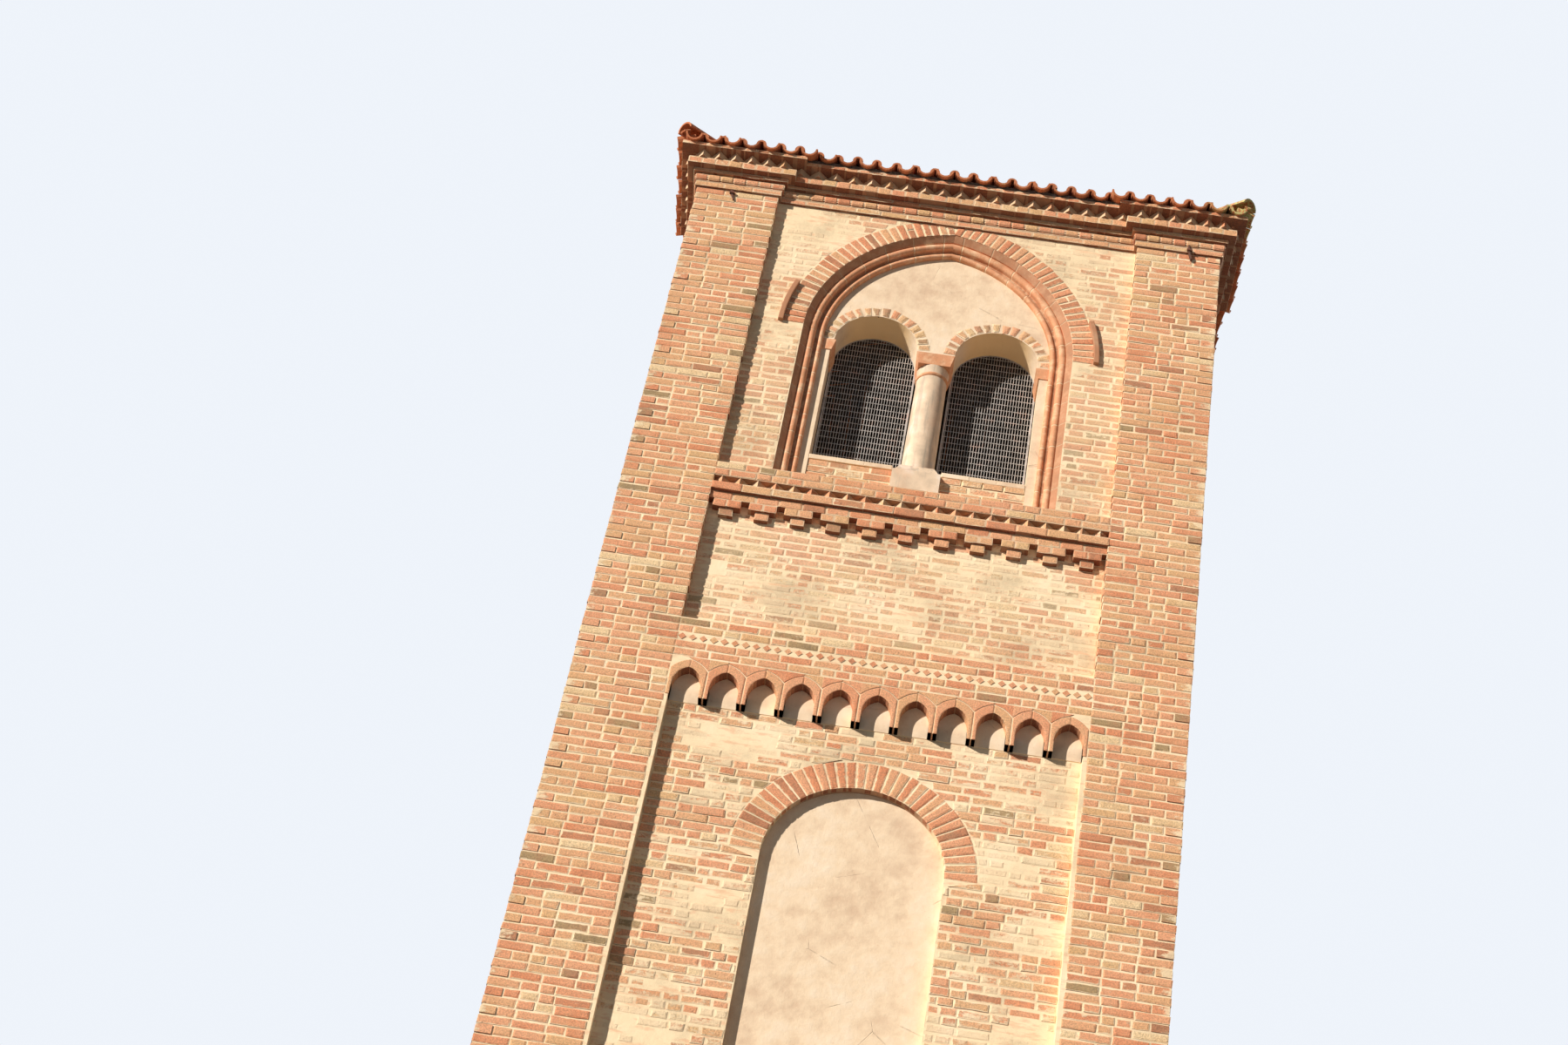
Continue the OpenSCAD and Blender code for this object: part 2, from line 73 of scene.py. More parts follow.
# Levels and planes of the frame, in metres; distances out of the wall count from the pier faces
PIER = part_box("front_left_pier")
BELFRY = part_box("front_belfry_wall")
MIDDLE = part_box("front_middle_wall")
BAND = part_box("arcade_bands")
HALF = -PIER[0].x
PIER_W = PIER[1].x - PIER[0].x
PANEL_EDGE = HALF - PIER_W
Z_CORNICE = PIER[1].z
Z_LEDGE = BELFRY[0].z
Z_BAND = BAND[0].z
Z_PLAIN = BAND[1].z
BELFRY_OUT = -(BELFRY[0].y + HALF)
PANEL_OUT = -(MIDDLE[0].y + HALF)
STRING_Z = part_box("string_courses")[0].z
SILL_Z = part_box("window_sills")[1].z
INNER_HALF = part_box("belfry_floor")[1].x
ROOM_HALF = INNER_HALF + 0.32  # faces nearer the middle than this belong to the rooms
ROOFS = tuple(f"{side}_roof" for side in SIDES)

# Bricks
BRICK_IN = 0.012  # how far a brick's back sits in its mortar
EDGE_DEEP = 0.36  # depth of a worn edge over its width
OUT_OF_TRUE = 0.0035  # how far a brick's corners may be off
NARROWEST = 0.022  # narrower bricks are left out beside an opening
SHORTEST_END = 0.06  # a shorter rest of a course joins the brick before it
HIDING = 1.4  # thickness of the mortar's patches at which a brick is hidden
TOOTH = 0.118  # width of the bricks set on edge as teeth
TOOTH_DEEP = TOOTH * math.sin(math.pi / 4)
UNEVEN = (-0.022, 0.016)  # range of the shift in a brick's length
SLIP = 0.30  # chance that the turn of stretchers and headers breaks
NEXT_SIDE = 7.3  # shift that gives each side its own patches of mortar

# Big arch: the frame's own arch is rounder than the moulding, the beds and heads made here close the rest
FRAME_POINT, FRAME_SPRINGING = 0.04, 18.86
FRAME_RING_HALF, FRAME_SCREEN_HALF = 1.502, 1.033
HEAD_FOOT = 18.92  # height at which the plaster heads start
BED_WIDE = 0.03  # width of the mortar beds beside the windows
MOULDING_BACK, MOULDING_LAP = 0.598, 0.022  # depth of the moulding in the wall, its lap under the ring
MOULDING_DEEP = 0.215  # depth in which the moulding shows
SPLAY_FROM = -0.055  # where the splay starts, from the arch's line inwards
HOLLOW_FROM, HOLLOW_TO = -0.149, -0.121  # the hollow between the rolls
PIECE_TURN, PIECE_HIGH = 0.215, 0.262  # angle of a moulded piece round the arch, height of one below it

# String course and cornice
CORBEL_HALF, CORBEL_TOP_HALF = 0.061, 0.120  # half widths of the lower corbel brick and of the pair on it
ROUND_PITCH, ROUND_NOSE = 0.128, 0.034  # width of a round-nosed brick with its joint, bulge of its nose
# Foot and head (along, height) of each tie's end, and how far it stands out
TIE_ENDS = (((-2.132, 20.265), (-2.181, 20.455), 0.008), ((2.230, 20.300), (2.193, 20.535), 0.030))
TIE_HALF, TIE_THICK = 0.010, 0.013  # half of the width of a tie's end, its thickness

# Roof
DECK_IN, DECK_THICK = 0.16, 0.012  # how far the boards stay behind the roof's edge, their thickness
CAP_LIFT = 0.128  # height of the hip caps' axis over the roof's underside
CAP_FOOT = 0.085  # how far the hip caps start behind the roof's corner
CHANNEL_LIFT = -0.006  # height of the channel tiles over the roof's underside
LAP_LIFT = 0.007  # rise of a tile that lies on the one below
# Half of the arc of each kind of tile
CHANNEL_TURN, COVER_TURN, CAP_TURN = (math.radians(degrees) for degrees in (88, 82, 86))

# Wire mesh: depths behind the screen's back of the upright wires, the level wires and their frame
UPRIGHT_IN, LEVEL_IN, RIM_IN = (0.0050, 0.0012), (0.0086, 0.0048), (0.0115, 0.0005)
RIM_OUT, RIM_LAP = 0.013, 0.005  # how far the frame reaches outside the light and into it


def length(name, text, value):
    return FloatProperty(name=name, description=text, default=value, min=0.0, unit="LENGTH", precision=4)


def turning(name, text, value):
    return FloatProperty(name=name, description=text, default=value, subtype="ANGLE")


def tint(name, text, value):
    return FloatVectorProperty(name=name, description=text, default=value, size=3, min=0, max=1,
                               subtype="COLOR")


class BrickSizes(bpy.types.PropertyGroup):
    """Sizes of the bricks, and of the lower panels and bands."""
    course: length("Course", "Height of one brick course with its joint", 0.08)
    stretcher: length("Stretcher", "Length of a brick with its joint", 0.26)
    header: length("Header", "Width of a brick's end with its joint", 0.13)
    joint: length("Joint", "Width of a mortar joint", 0.014)
    proud: length("Proud", "How far a pier brick stands out of its mortar", 0.007)
    panel_proud: length("Panel proud", "How far a panel brick stands out of its mortar", 0.004)
    edge: length("Edge", "Width of the worn edges", 0.012)
    lower_panel: length("Lower panel", "Half of the width of the lower panels", 1.68)
    base: length("Base", "Height of the flush base", 1.6)
    foot_band: length("Band foot", "Height at which the flush band starts", 8.0)
    foot_band_top: length("Band top", "Height at which the flush band ends", 8.4)
    seed: IntProperty(name="Seed", description="Start of the random draws", default=11)


class WindowSizes(bpy.types.PropertyGroup):
    """Sizes of the big arches, the lights and the walled-up windows."""
    half_width: length("Half width", "Half of the width of the big arch", 1.24)
    springing: length("Springing", "Height at which the big arch springs", 18.84)
    point: length("Point", "Distance of the arch centres from the middle", 0.24)
    ring: length("Ring", "Length of the radial bricks", 0.19)
    moulding_in: length("Moulding", "Distance of the moulding's inner edge from the window's middle", 1.045)
    splay: length("Splay", "Width of the splay beside the ring", 0.055)
    splay_deep: length("Splay depth", "Depth of the splay", 0.05)
    roll: length("Roll", "Radius of the outer roll", 0.034)
    inner_roll: length("Inner roll", "Radius of the inner roll", 0.024)
    hollow: length("Hollow", "Depth of the hollow between the rolls, from the pier faces", 0.19)
    stub_wide: length("Stub width", "Width of the hood mould's ends", 0.046)
    stub_out: length("Stub", "How far the hood mould's ends stand out", 0.042)
    stub_turn: turning("Stub angle", "Stretch of the arch beside a hood mould's end", 0.314)
    light_half: length("Light", "Half of the width of one light", 0.385)
    light_middle: length("Light middle", "Distance of a light from the window's middle", 0.56)
    light_springing: length("Light springing", "Height at which the lights spring", 18.83)
    light_ring: length("Light ring", "Length of the bricks round a light", 0.118)
    screen: length("Screen", "Depth of the plastered screen behind the pier faces", 0.215)
    screen_back: length("Screen back", "Depth of the screen's back", 0.515)
    jamb_edge: length("Jamb", "Distance of a jamb from the window's middle", 0.965)
    plinth: length("Plinth", "Half of the width of the column's plinth", 0.215)
    upright_pitch: length("Upright pitch", "Distance between the mesh's upright wires", 0.0252)
    level_pitch: length("Level pitch", "Distance between the mesh's level wires", 0.0705)
    wire: length("Wire", "Width of a wire", 0.0056)
    blind_half: length("Blind window", "Half of the width of the walled-up window", 0.72)
    blind_springing: length("Blind springing", "Height at which the walled-up window's arch springs", 13.11)
    blind_side: length("Blind side", "Height of the walled-up window's straight sides", 1.8)
    blind_ring: length("Relieving ring", "Length of the relieving arch's bricks", 0.25)


class BandSizes(bpy.types.PropertyGroup):
    """Sizes of the arcade band and the string course."""
    arches: IntProperty(name="Arches", description="Small arches on a side", default=11, min=1)
    pitch: length("Pitch", "Distance from one small arch to the next", 0.311)
    width: length("Width", "Width of a small arch", 0.24)
    leg: length("Leg", "Height of a small arch below its springing", 0.13)
    rise: length("Rise", "Height of a small arch over its springing", 0.165)
    strip: length("Strip", "Width of the moulded strip round a small arch", 0.072)
    lozenge: length("Lozenge", "Width of a lozenge", 0.066)
    lozenge_pitch: length("Lozenge pitch", "Distance between lozenges", 0.088)
    teeth: IntProperty(name="Teeth", description="Teeth of the string course on a side", default=22, min=1)
    corbel_out: length("Corbel", "How far the lower corbel brick stands out of the panel", 0.047)
    corbel_top_out: length("Corbel top", "How far the upper corbel bricks stand out of the panel", 0.072)
    thin_out: length("Thin course", "How far the thin course stands out of the panel", 0.108)


class CorniceSizes(bpy.types.PropertyGroup):
    """How far the courses of the cornice stand out of the piers."""
    lower: length("Lower course", "How far the lowest course stands out", 0.025)
    round: length("Round course", "How far the rounded course stands out", 0.044)
    thin: length("Thin course", "How far the thin course stands out", 0.064)
    thick: length("Thick course", "How far the thick course stands out", 0.13)
    saw: length("Sawtooth", "How far the tips of the teeth stand out", 0.165)
    eaves: length("Eaves course", "How far the flat course under the tiles stands out", 0.215)


class RoofSizes(bpy.types.PropertyGroup):
    """Sizes of the roof and its tiles."""
    rise: FloatProperty(name="Rise", description="Rise of the roof over its run", default=0.34, min=0.1)
    step: length("Step", "How far the eaves step back over the panels", 0.06)
    pitch: length("Tile pitch", "Distance from one cover tile to the next", 0.187)
    channel_radius: length("Channel radius", "Radius of a channel tile", 0.088)
    cover_radius: length("Cover radius", "Radius of a cover tile", 0.050)
    cover_top: length("Cover top", "Height of the cover tiles over the roof's underside", 0.117)
    cover_back: length("Cover set back", "How far the covers lie behind the ends of the channels", 0.060)
    inset: length("Inset", "How far the tile ends stay inside the roof's edge", 0.034)
    thick: length("Tile thickness", "Thickness of a tile", 0.017)
    long: length("Tile length", "Length of a tile", 0.42)
    gauge: length("Gauge", "Length of a tile that shows", 0.33)
    hip_radius: length("Hip radius", "Radius of a hip cap tile", 0.092)


class Tints(bpy.types.PropertyGroup):
    """Colours of the finishes."""
    salmon: tint("Salmon", "Most of the bricks", (0.74, 0.325, 0.165))
    orange: tint("Orange", "Brighter bricks", (0.66, 0.215, 0.09))
    ochre: tint("Ochre", "Paler, yellower bricks", (0.64, 0.40, 0.17))
    red: tint("Red", "Harder fired bricks", (0.40, 0.125, 0.058))
    olive: tint("Olive", "Weathered bricks", (0.36, 0.225, 0.095))
    mortar: tint("Mortar", "Mortar in the joints", (0.97, 0.76, 0.485))
    plaster: tint("Plaster", "Old lime plaster", (0.83, 0.64, 0.44))
    stone: tint("Stone", "Stone of the columns", (0.74, 0.56, 0.39))
    terracotta: tint("Terracotta", "Moulded terracotta", (0.64, 0.29, 0.14))
    tile: tint("Tile", "Roof tiles", (0.52, 0.165, 0.055))
    moss: tint("Moss", "Dirt and moss on the tiles", (0.10, 0.06, 0.035))
    lichen: tint("Lichen", "Lichen at the eaves corner", (0.55, 0.50, 0.20))
    wire: tint("Wire", "Wire mesh", (0.51, 0.47, 0.44))
    boards: tint("Boards", "Boards of the floor and roof", (0.07, 0.045, 0.028))


class StageSizes(bpy.types.PropertyGroup):
    """Camera and background."""
    lens: FloatProperty(name="Lens", description="Focal length in millimetres", default=60.0)
    eye: FloatVectorProperty(name="Eye", description="Place of the camera", default=(0.444, -19.39, 1.915),
                             size=3)
    pitch: turning("Pitch", "Tilt above the horizon", 0.706)
    roll: turning("Roll", "Roll of the camera", 0.2029)
    yaw: turning("Yaw", "Turn of the camera", -0.0876)
    floor: tint("Floor", "Pale floor", (0.80, 0.79, 0.77))
    sky: tint("Background", "Pale background", (0.86, 0.90, 0.96))


# Shader building

class Value:
    """A number socket that takes part in sums, so that shader maths reads as Python."""

    def __init__(self, paint, socket):
        self.paint = paint
        self.socket = socket

    def maths(self, operation, *terms):
        node = self.paint.node("ShaderNodeMath", {"operation": operation}, dict(enumerate(terms)))
        return Value(self.paint, node.outputs[0])

    def __add__(self, other):
        return self.maths("ADD", self, other)

    __radd__ = __add__

    def __sub__(self, other):
        return self.maths("SUBTRACT", self, other)

    def __rsub__(self, other):
        return self.maths("SUBTRACT", other, self)

    def __mul__(self, other):
        return self.maths("MULTIPLY", self, other)

    __rmul__ = __mul__

    def over(self, limit):
        return self.maths("GREATER_THAN", self, limit)

    def most(self, other):
        return self.maths("MAXIMUM", self, other)

    def size(self):
        return self.maths("ABSOLUTE", self)

    def ramp(self, low, high):
        """0 at low and 1 at high, smoothly."""
        node = self.paint.node("ShaderNodeMapRange", {"interpolation_type": "SMOOTHSTEP"},
                               {"Value": self, "From Min": low, "From Max": high})
        return Value(self.paint, node.outputs[0])

    def saw(self, pitch):
        """Distance to the nearest whole number of pitches."""
        return self.maths("PINGPONG", self, pitch / 2)


class Paint:
    """One procedural material under construction."""

    def __init__(self, name, roughness=0.9):
        self.material = bpy.data.materials.new(name)
        self.material.use_nodes = True
        self.tree = self.material.node_tree
        self.tree.nodes.clear()
        self.shader = self.node("ShaderNodeBsdfPrincipled", {}, {"Roughness": roughness})
        self.node("ShaderNodeOutputMaterial", {}, {0: self.shader.outputs[0]})
        self.place = self.node("ShaderNodeTexCoord", {}, {}).outputs["Object"]

    def node(self, kind, settings, inputs):
        """Adds a node: its type, its settings, then a value or a link for each socket."""
        made = self.tree.nodes.new(kind)
        for key, value in settings.items():
            if key == "stops":
                self.set_stops(made.color_ramp, value)
            else:
                setattr(made, key, value)
        for key, value in inputs.items():
            socket = made.inputs[key]
            if isinstance(value, Value):
                self.tree.links.new(value.socket, socket)
            elif isinstance(value, bpy.types.NodeSocket):
                self.tree.links.new(value, socket)
            elif value is not None:
                if socket.type == "RGBA" and len(value) == 3:
                    value = (*value, 1.0)
                socket.default_value = value
        return made

    @staticmethod
    def set_stops(ramp, stops):
        while len(ramp.elements) < len(stops):
            ramp.elements.new(0.5)
        for element, (at, colour) in zip(ramp.elements, stops):
            element.position = at
            element.color = (*colour, 1.0)

    def noise(self, scale, detail=3.0, rough=0.5, at=None, warp=0.0):
        node = self.node("ShaderNodeTexNoise", {}, {
            "Vector": at or self.place, "Scale": scale, "Detail": detail, "Roughness": rough,
            "Distortion": warp})
        return Value(self, node.outputs[0])

    def stretched(self, factors):
        node = self.node("ShaderNodeVectorMath", {"operation": "MULTIPLY"}, {0: self.place, 1: factors})
        return node.outputs[0]

    def axes(self):
        node = self.node("ShaderNodeSeparateXYZ", {}, {0: self.place})
        return tuple(Value(self, node.outputs[k]) for k in range(3))

    def below(self):
        """1 on faces that look down, where the materials paint shade and warm bounce light."""
        return 1 - self.upward("True Normal").ramp(-0.85, -0.45)

    def upward(self, kind):
        """How much a kind of normal points up."""
        normal = self.node("ShaderNodeNewGeometry", {}, {}).outputs[kind]
        return Value(self, self.node("ShaderNodeSeparateXYZ", {}, {0: normal}).outputs[2])

    def read(self, name):
        node = self.node("ShaderNodeAttribute", {"attribute_type": "GEOMETRY", "attribute_name": name}, {})
        return Value(self, node.outputs["Fac"])

    def stops(self, value, stops):
        return self.node("ShaderNodeValToRGB", {"stops": stops}, {0: value}).outputs[0]

    def mix(self, share, first, second):
        return self.node("ShaderNodeMix", {"data_type": "RGBA"}, {0: share, 6: first, 7: second}).outputs[2]

    def seen(self):
        """1 where the camera, a gloss or a glass looks straight at the surface."""
        rays = self.node("ShaderNodeLightPath", {}, {}).outputs
        kinds = ("Camera", "Glossy", "Transmission")
        camera, gloss, glass = (Value(self, rays[f"Is {kind} Ray"]) for kind in kinds)
        return camera.most(gloss).most(glass)

    def shade(self, colour, value):
        """colour made lighter or darker by value."""
        grey = self.node("ShaderNodeCombineXYZ", {}, {0: value, 1: value, 2: value}).outputs[0]
        return self.node("ShaderNodeVectorMath", {"operation": "MULTIPLY"}, {0: colour, 1: grey}).outputs[0]

    def finish(self, colour, roughness=None, height=None, depth=0.004, strength=0.6):
        self.tree.links.new(colour, self.shader.inputs["Base Color"])
        if roughness is not None:
            self.tree.links.new(roughness.socket, self.shader.inputs["Roughness"])
        if height is not None:
            bump = self.node("ShaderNodeBump", {}, {
                "Height": height, "Distance": depth, "Strength": strength})
            self.tree.links.new(bump.outputs[0], self.shader.inputs["Normal"])
        return self.material


class Sky(Paint):
    """The nodes of a world."""

    def __init__(self, world):
        world.use_nodes = True
        self.tree = world.node_tree
        self.tree.nodes.clear()


def darker(colour, share):
    return tuple(c * share for c in colour)


def blended(first, second, share):
    return tuple(a + (b - a) * share for a, b in zip(first, second))


class Colours:
    """The tints as plain tuples."""

    def __init__(self, group):
        for key in type(group).__annotations__:
            setattr(self, key, tuple(getattr(group, key)))


def mortar_colour(paint, tints):
    """Colour and height of lime mortar."""
    grain = paint.noise(140, 4, 0.6)
    blotch = paint.noise(2.2, 4, 0.6)
    colour = paint.stops(blotch * 0.75 + grain * 0.25, (
        (0.30, darker(tints.mortar, 0.62)), (0.5, darker(tints.mortar, 0.93)),
        (0.70, blended(tints.mortar, (1, 1, 1), 0.12))))
    return colour, grain + paint.noise(28, 3) * 1.5


def make_mortar(name, tints, soot_and_shade):
    """Mortar of the joints, darker where a share of soot is given, partly as painted shade, and with painted
    shade on faces that look down; on the inner faces it shows courses of bricks under a thin wash, painted
    almost black as painted shade inside the rooms.
    """
    paint = Paint(name, 0.95)
    colour, height = mortar_colour(paint, tints)
    # Partly soot and partly painted shade: the cornice's mortar is mixed towards a dark orange, which darkens
    # its joints and the valleys between its teeth
    colour = paint.mix(soot_and_shade, colour, darker(tints.orange, 0.5))
    # Painted shade: faces that look down are mixed towards a dark warm orange
    below = paint.below()
    colour = paint.mix(below * 0.85, colour, darker(blended(tints.mortar, tints.orange, 0.8), 0.38))
    x, y, z = paint.axes()
    inside = 1 - x.size().most(y.size()).over(ROOM_HALF)
    along = x + y
    spot = paint.node("ShaderNodeCombineXYZ", {}, {0: along, 1: z, 2: 0.0}).outputs[0]
    brick = paint.node("ShaderNodeTexBrick", {"offset": 0.5}, {
        "Vector": spot, "Color1": darker(tints.salmon, 0.9), "Color2": tints.ochre, "Mortar": tints.mortar,
        "Scale": 1.0, "Mortar Size": 0.007, "Brick Width": 0.26, "Row Height": 0.08})
    wash = paint.noise(5, 5, 0.6).ramp(0.40, 0.62)
    # Painted shade: the inner faces of the rooms are darkened to a few per cent of their colour
    inner = paint.shade(paint.mix(wash * 0.6, brick.outputs[0], colour), wash * 0.01 + 0.025)
    ghost = paint.noise(20, 4, 0.6, at=paint.stretched((0.3, 0.3, 1.4))).ramp(0.50, 0.66) * 0.42
    colour = paint.mix(ghost, colour, tints.salmon)
    return paint.finish(paint.mix(inside, colour, inner), height=height, depth=0.003)


def make_brick(name, tints, redder, smear, veil):
    """Hand-made brick: each block has its own tone and cover of mortar, which smear and veil add to; faces
    that look down get painted shade.
    """
    paint = Paint(name, 0.88)
    tone = paint.read("tone") + (paint.noise(9, 3) - 0.5) * 0.24
    salmon, orange = (blended(c, tints.red, redder) for c in (tints.salmon, tints.orange))
    colour = paint.stops(tone, (
        (0.02, darker(tints.olive, 0.55)), (0.12, tints.olive), (0.22, blended(tints.red, tints.olive, 0.2)),
        (0.36, orange), (0.50, salmon), (0.62, blended(salmon, tints.ochre, 0.35)),
        (0.80, blended(salmon, tints.ochre, 0.75)), (0.98, blended(tints.ochre, tints.mortar, 0.5))))
    grain = paint.noise(75, 5, 0.65)
    fine = paint.noise(260, 3, 0.6)
    weather = paint.noise(0.9, 5, 0.6)
    streak = paint.noise(19, 4, 0.6, at=paint.stretched((0.4, 0.4, 1.5)))
    colour = paint.shade(colour, 0.60 + grain.ramp(0.34, 0.66) * 0.50 + fine.ramp(0.36, 0.64) * 0.30)
    colour = paint.mix(weather.ramp(0.52, 0.80) * 0.35, colour, tints.ochre)
    dirt_and_shade = paint.noise(3.1, 5, 0.65).ramp(0.60, 0.80) * 0.35
    colour = paint.mix(dirt_and_shade, colour, darker(tints.olive, 0.8))
    mortar, _ = mortar_colour(paint, tints)
    below = paint.below()
    cover = paint.read("cover") * 0.42 + paint.read("rim") * 0.34 + smear
    film = (paint.noise(24, 6, 0.72, warp=0.5) * 0.5 + streak * 0.5 + cover - 0.66).ramp(0.0, 0.16)
    # Painted shade: faces that look down keep no mortar film or veil and are mixed towards a dark shadow
    # colour
    film = film * (1 - below)
    pits = paint.noise(55, 4, 0.7).ramp(0.63, 0.72)
    colour = paint.mix(pits * 0.45 * (1 - film), colour, darker(tints.red, 0.6))
    colour = paint.mix((film * 0.9).most(veil * (0.5 + streak)) * (1 - below), colour, mortar)
    shadow = darker(blended(tints.orange, tints.red, 0.2), 0.34)
    colour = paint.mix(below * 0.9, colour, paint.shade(shadow, grain * 2))
    height = grain * 1.2 + fine * 0.4 - pits * 1.5 + film * 0.5
    return paint.finish(colour, roughness=0.82 + grain * 0.14, height=height, depth=0.007, strength=0.8)


def make_terracotta(tints):
    """Moulded terracotta, with joints round the arch and up the sides of the windows, and painted shade in
    the splay, in the hollow and on the hood mould's ends.
    """
    paint = Paint("moulded_terracotta", 0.78)
    blotch = paint.noise(4.5, 5, 0.6)
    grain = paint.noise(90, 4, 0.6)
    colour = paint.stops(blotch, (
        (0.28, darker(tints.terracotta, 0.68)), (0.46, tints.terracotta),
        (0.60, blended(tints.terracotta, tints.salmon, 0.6)),
        (0.74, blended(tints.terracotta, tints.mortar, 0.6))))
    colour = paint.shade(colour, 0.80 + grain * 0.40)
    x, y, z = paint.axes()
    on_front = y.size().over(x.size())
    along = x * on_front + y * (1 - on_front)
    sizes = bpy.context.scene.tower_window
    rise = z - sizes.springing
    angle = along.size().maths("ARCTAN2", rise, along.size())
    curve = angle.saw(PIECE_TURN) * sizes.half_width
    upright = z.saw(PIECE_HIGH)
    above = rise.over(0.0)
    distance = curve * above + upright * (1 - above)
    on_surround = x.size().most(y.size()).over(HALF - MOULDING_DEEP)
    on_surround = on_surround * (1 - along.size().over(sizes.half_width + 0.001))
    joint = (1 - (distance + (paint.noise(30, 2) - 0.5) * 0.004).ramp(0.003, 0.007)) * on_surround
    joint = joint * z.over(Z_LEDGE) * along.size().over(sizes.jamb_edge + 0.05).most(rise.over(0.5))
    colour = paint.mix(joint * 0.65, colour, tints.mortar)
    corner = paint.node("ShaderNodeCombineXYZ", {}, {
        0: along.size() + sizes.point, 1: rise.most(0.0), 2: 0.0})
    reach = paint.node("ShaderNodeVectorMath", {"operation": "LENGTH"}, {0: corner.outputs[0]}).outputs[1]
    reach = Value(paint, reach) - (sizes.half_width + sizes.point)
    splay = on_surround * reach.over(SPLAY_FROM)
    hollow = on_surround * reach.over(HOLLOW_FROM) * (1 - reach.over(HOLLOW_TO))
    stub = along.size().over(sizes.half_width + sizes.ring * 0.5)
    # Painted shade: the splay, the hollow between the rolls and the hood mould's ends are darkened, and dust
    # is kept off them
    dirt_and_shade = (splay * 0.55).most(hollow * 0.7).most(stub * 0.6)
    colour = paint.mix(dirt_and_shade, colour, darker(tints.terracotta, 0.42))
    dust = paint.noise(11, 5, 0.65).ramp(0.46, 0.66) * 0.40 * (1 - splay * 0.6) * (1 - stub)
    colour = paint.mix(dust, colour, blended(tints.mortar, tints.salmon, 0.3))
    height = grain * 0.8 + blotch * 2 - joint * 3
    return paint.finish(colour, height=height, depth=0.004)


def make_plaster(tints):
    """Old lime plaster with fine cracks, with painted warm bounce light on the faces that look down."""
    paint = Paint("lime_plaster", 0.92)
    broad = paint.noise(1.6, 5, 0.6)
    cloud = paint.noise(7, 5, 0.6)
    grain = paint.noise(170, 4, 0.6)
    colour = paint.stops(broad * 0.5 + cloud * 0.5, (
        (0.34, blended(darker(tints.plaster, 0.80), tints.salmon, 0.15)), (0.50, tints.plaster),
        (0.66, blended(tints.plaster, (1, 0.95, 0.85), 0.25))))
    colour = paint.shade(colour, 0.90 + grain * 0.20)
    cells = paint.node("ShaderNodeTexVoronoi", {"feature": "DISTANCE_TO_EDGE"},
                       {"Vector": paint.place, "Scale": 1.7})
    edge = Value(paint, cells.outputs["Distance"])
    crack = 1 - (edge + (paint.noise(20, 3) - 0.5) * 0.02).ramp(0.001, 0.005)
    crack = crack * paint.noise(1.9, 2).ramp(0.56, 0.62)
    colour = paint.mix(crack * 0.35, colour, darker(tints.plaster, 0.5))
    specks = paint.noise(60, 2, 0.5).ramp(0.68, 0.76)
    colour = paint.mix(specks * 0.4, colour, darker(tints.salmon, 0.8))
    # Painted light: faces that look down are mixed towards a warm orange, standing in for warm light thrown
    # up from below
    colour = paint.mix(paint.below() * 0.8, colour, blended(tints.plaster, (1.0, 0.70, 0.34), 0.9))
    return paint.finish(colour, height=cloud * 3 + grain * 0.6 - crack * 2, depth=0.005)


def make_stone(tints):
    """Smooth light stone with streaks of rain dirt."""
    paint = Paint("column_stone", 0.7)
    cloud = paint.noise(6, 5, 0.55)
    grain = paint.noise(120, 3, 0.5)
    colour = paint.stops(cloud, (
        (0.30, darker(tints.stone, 0.8)), (0.50, tints.stone), (0.70, blended(tints.stone, (1, 1, 1), 0.3))))
    colour = paint.shade(colour, 0.92 + grain * 0.16)
    streak = paint.noise(14, 4, 0.6, at=paint.stretched((1, 1, 0.09))).ramp(0.50, 0.66)
    colour = paint.mix(streak * 0.45, colour, (0.26, 0.23, 0.19))
    stain = paint.noise(3.5, 5, 0.65, at=paint.stretched((1, 1, 0.4))).ramp(0.48, 0.70) * 0.4
    colour = paint.mix(stain, colour, blended(tints.stone, tints.salmon, 0.6))
    return paint.finish(colour, height=grain * 0.6 + cloud * 2, depth=0.003)


def make_tile(tints):
    """Roof tile with soot and moss, lichen near one eaves corner, and painted warm shade on the faces that do
    not look up.
    """
    paint = Paint("fired_tile", 0.9)
    tone = paint.read("tone") + (paint.noise(12, 3) - 0.5) * 0.3
    colour = paint.stops(tone, (
        (0.05, darker(tints.tile, 0.45)), (0.35, tints.tile), (0.65, blended(tints.tile, tints.orange, 0.45)),
        (0.95, blended(tints.tile, tints.salmon, 0.8))))
    grain = paint.noise(70, 5, 0.65)
    colour = paint.shade(colour, 0.72 + grain * 0.5)
    upward = paint.upward("Normal").ramp(-0.1, 0.5)
    moss = paint.noise(8, 6, 0.7).ramp(0.42, 0.62) * (0.08 + upward * 0.92)
    colour = paint.mix(moss * 0.85, colour, tints.moss)
    # Painted shade: faces that do not look up are mixed towards a warm orange
    below = 1 - upward
    colour = paint.mix(below * 0.55, colour, paint.shade(tints.orange, 0.35 + grain * 0.9))
    corner = (HALF + 0.3, -HALF - 0.3, CAD_BOX[1][2] - 1.0)
    reach = paint.node("ShaderNodeVectorMath", {"operation": "DISTANCE"}, {0: paint.place, 1: corner})
    near = 1 - Value(paint, reach.outputs[1]).ramp(0.25, 0.60)
    lichen = paint.noise(34, 5, 0.7).ramp(0.42, 0.55) * near
    spots = paint.noise(22, 4, 0.7).ramp(0.64, 0.70) * 0.6
    colour = paint.mix(lichen.most(spots), colour, tints.lichen)
    return paint.finish(colour, height=grain + moss * 2, depth=0.005)


def make_wire(tints):
    """Dull galvanised wire with a little rust."""
    paint = Paint("galvanised_wire", 0.55)
    blotch = paint.noise(9, 4, 0.6)
    colour = paint.stops(blotch, (
        (0.35, darker(tints.wire, 0.55)), (0.55, tints.wire),
        (0.70, blended(tints.wire, tints.orange, 0.25))))
    return paint.finish(colour, roughness=0.42 + blotch * 0.3)


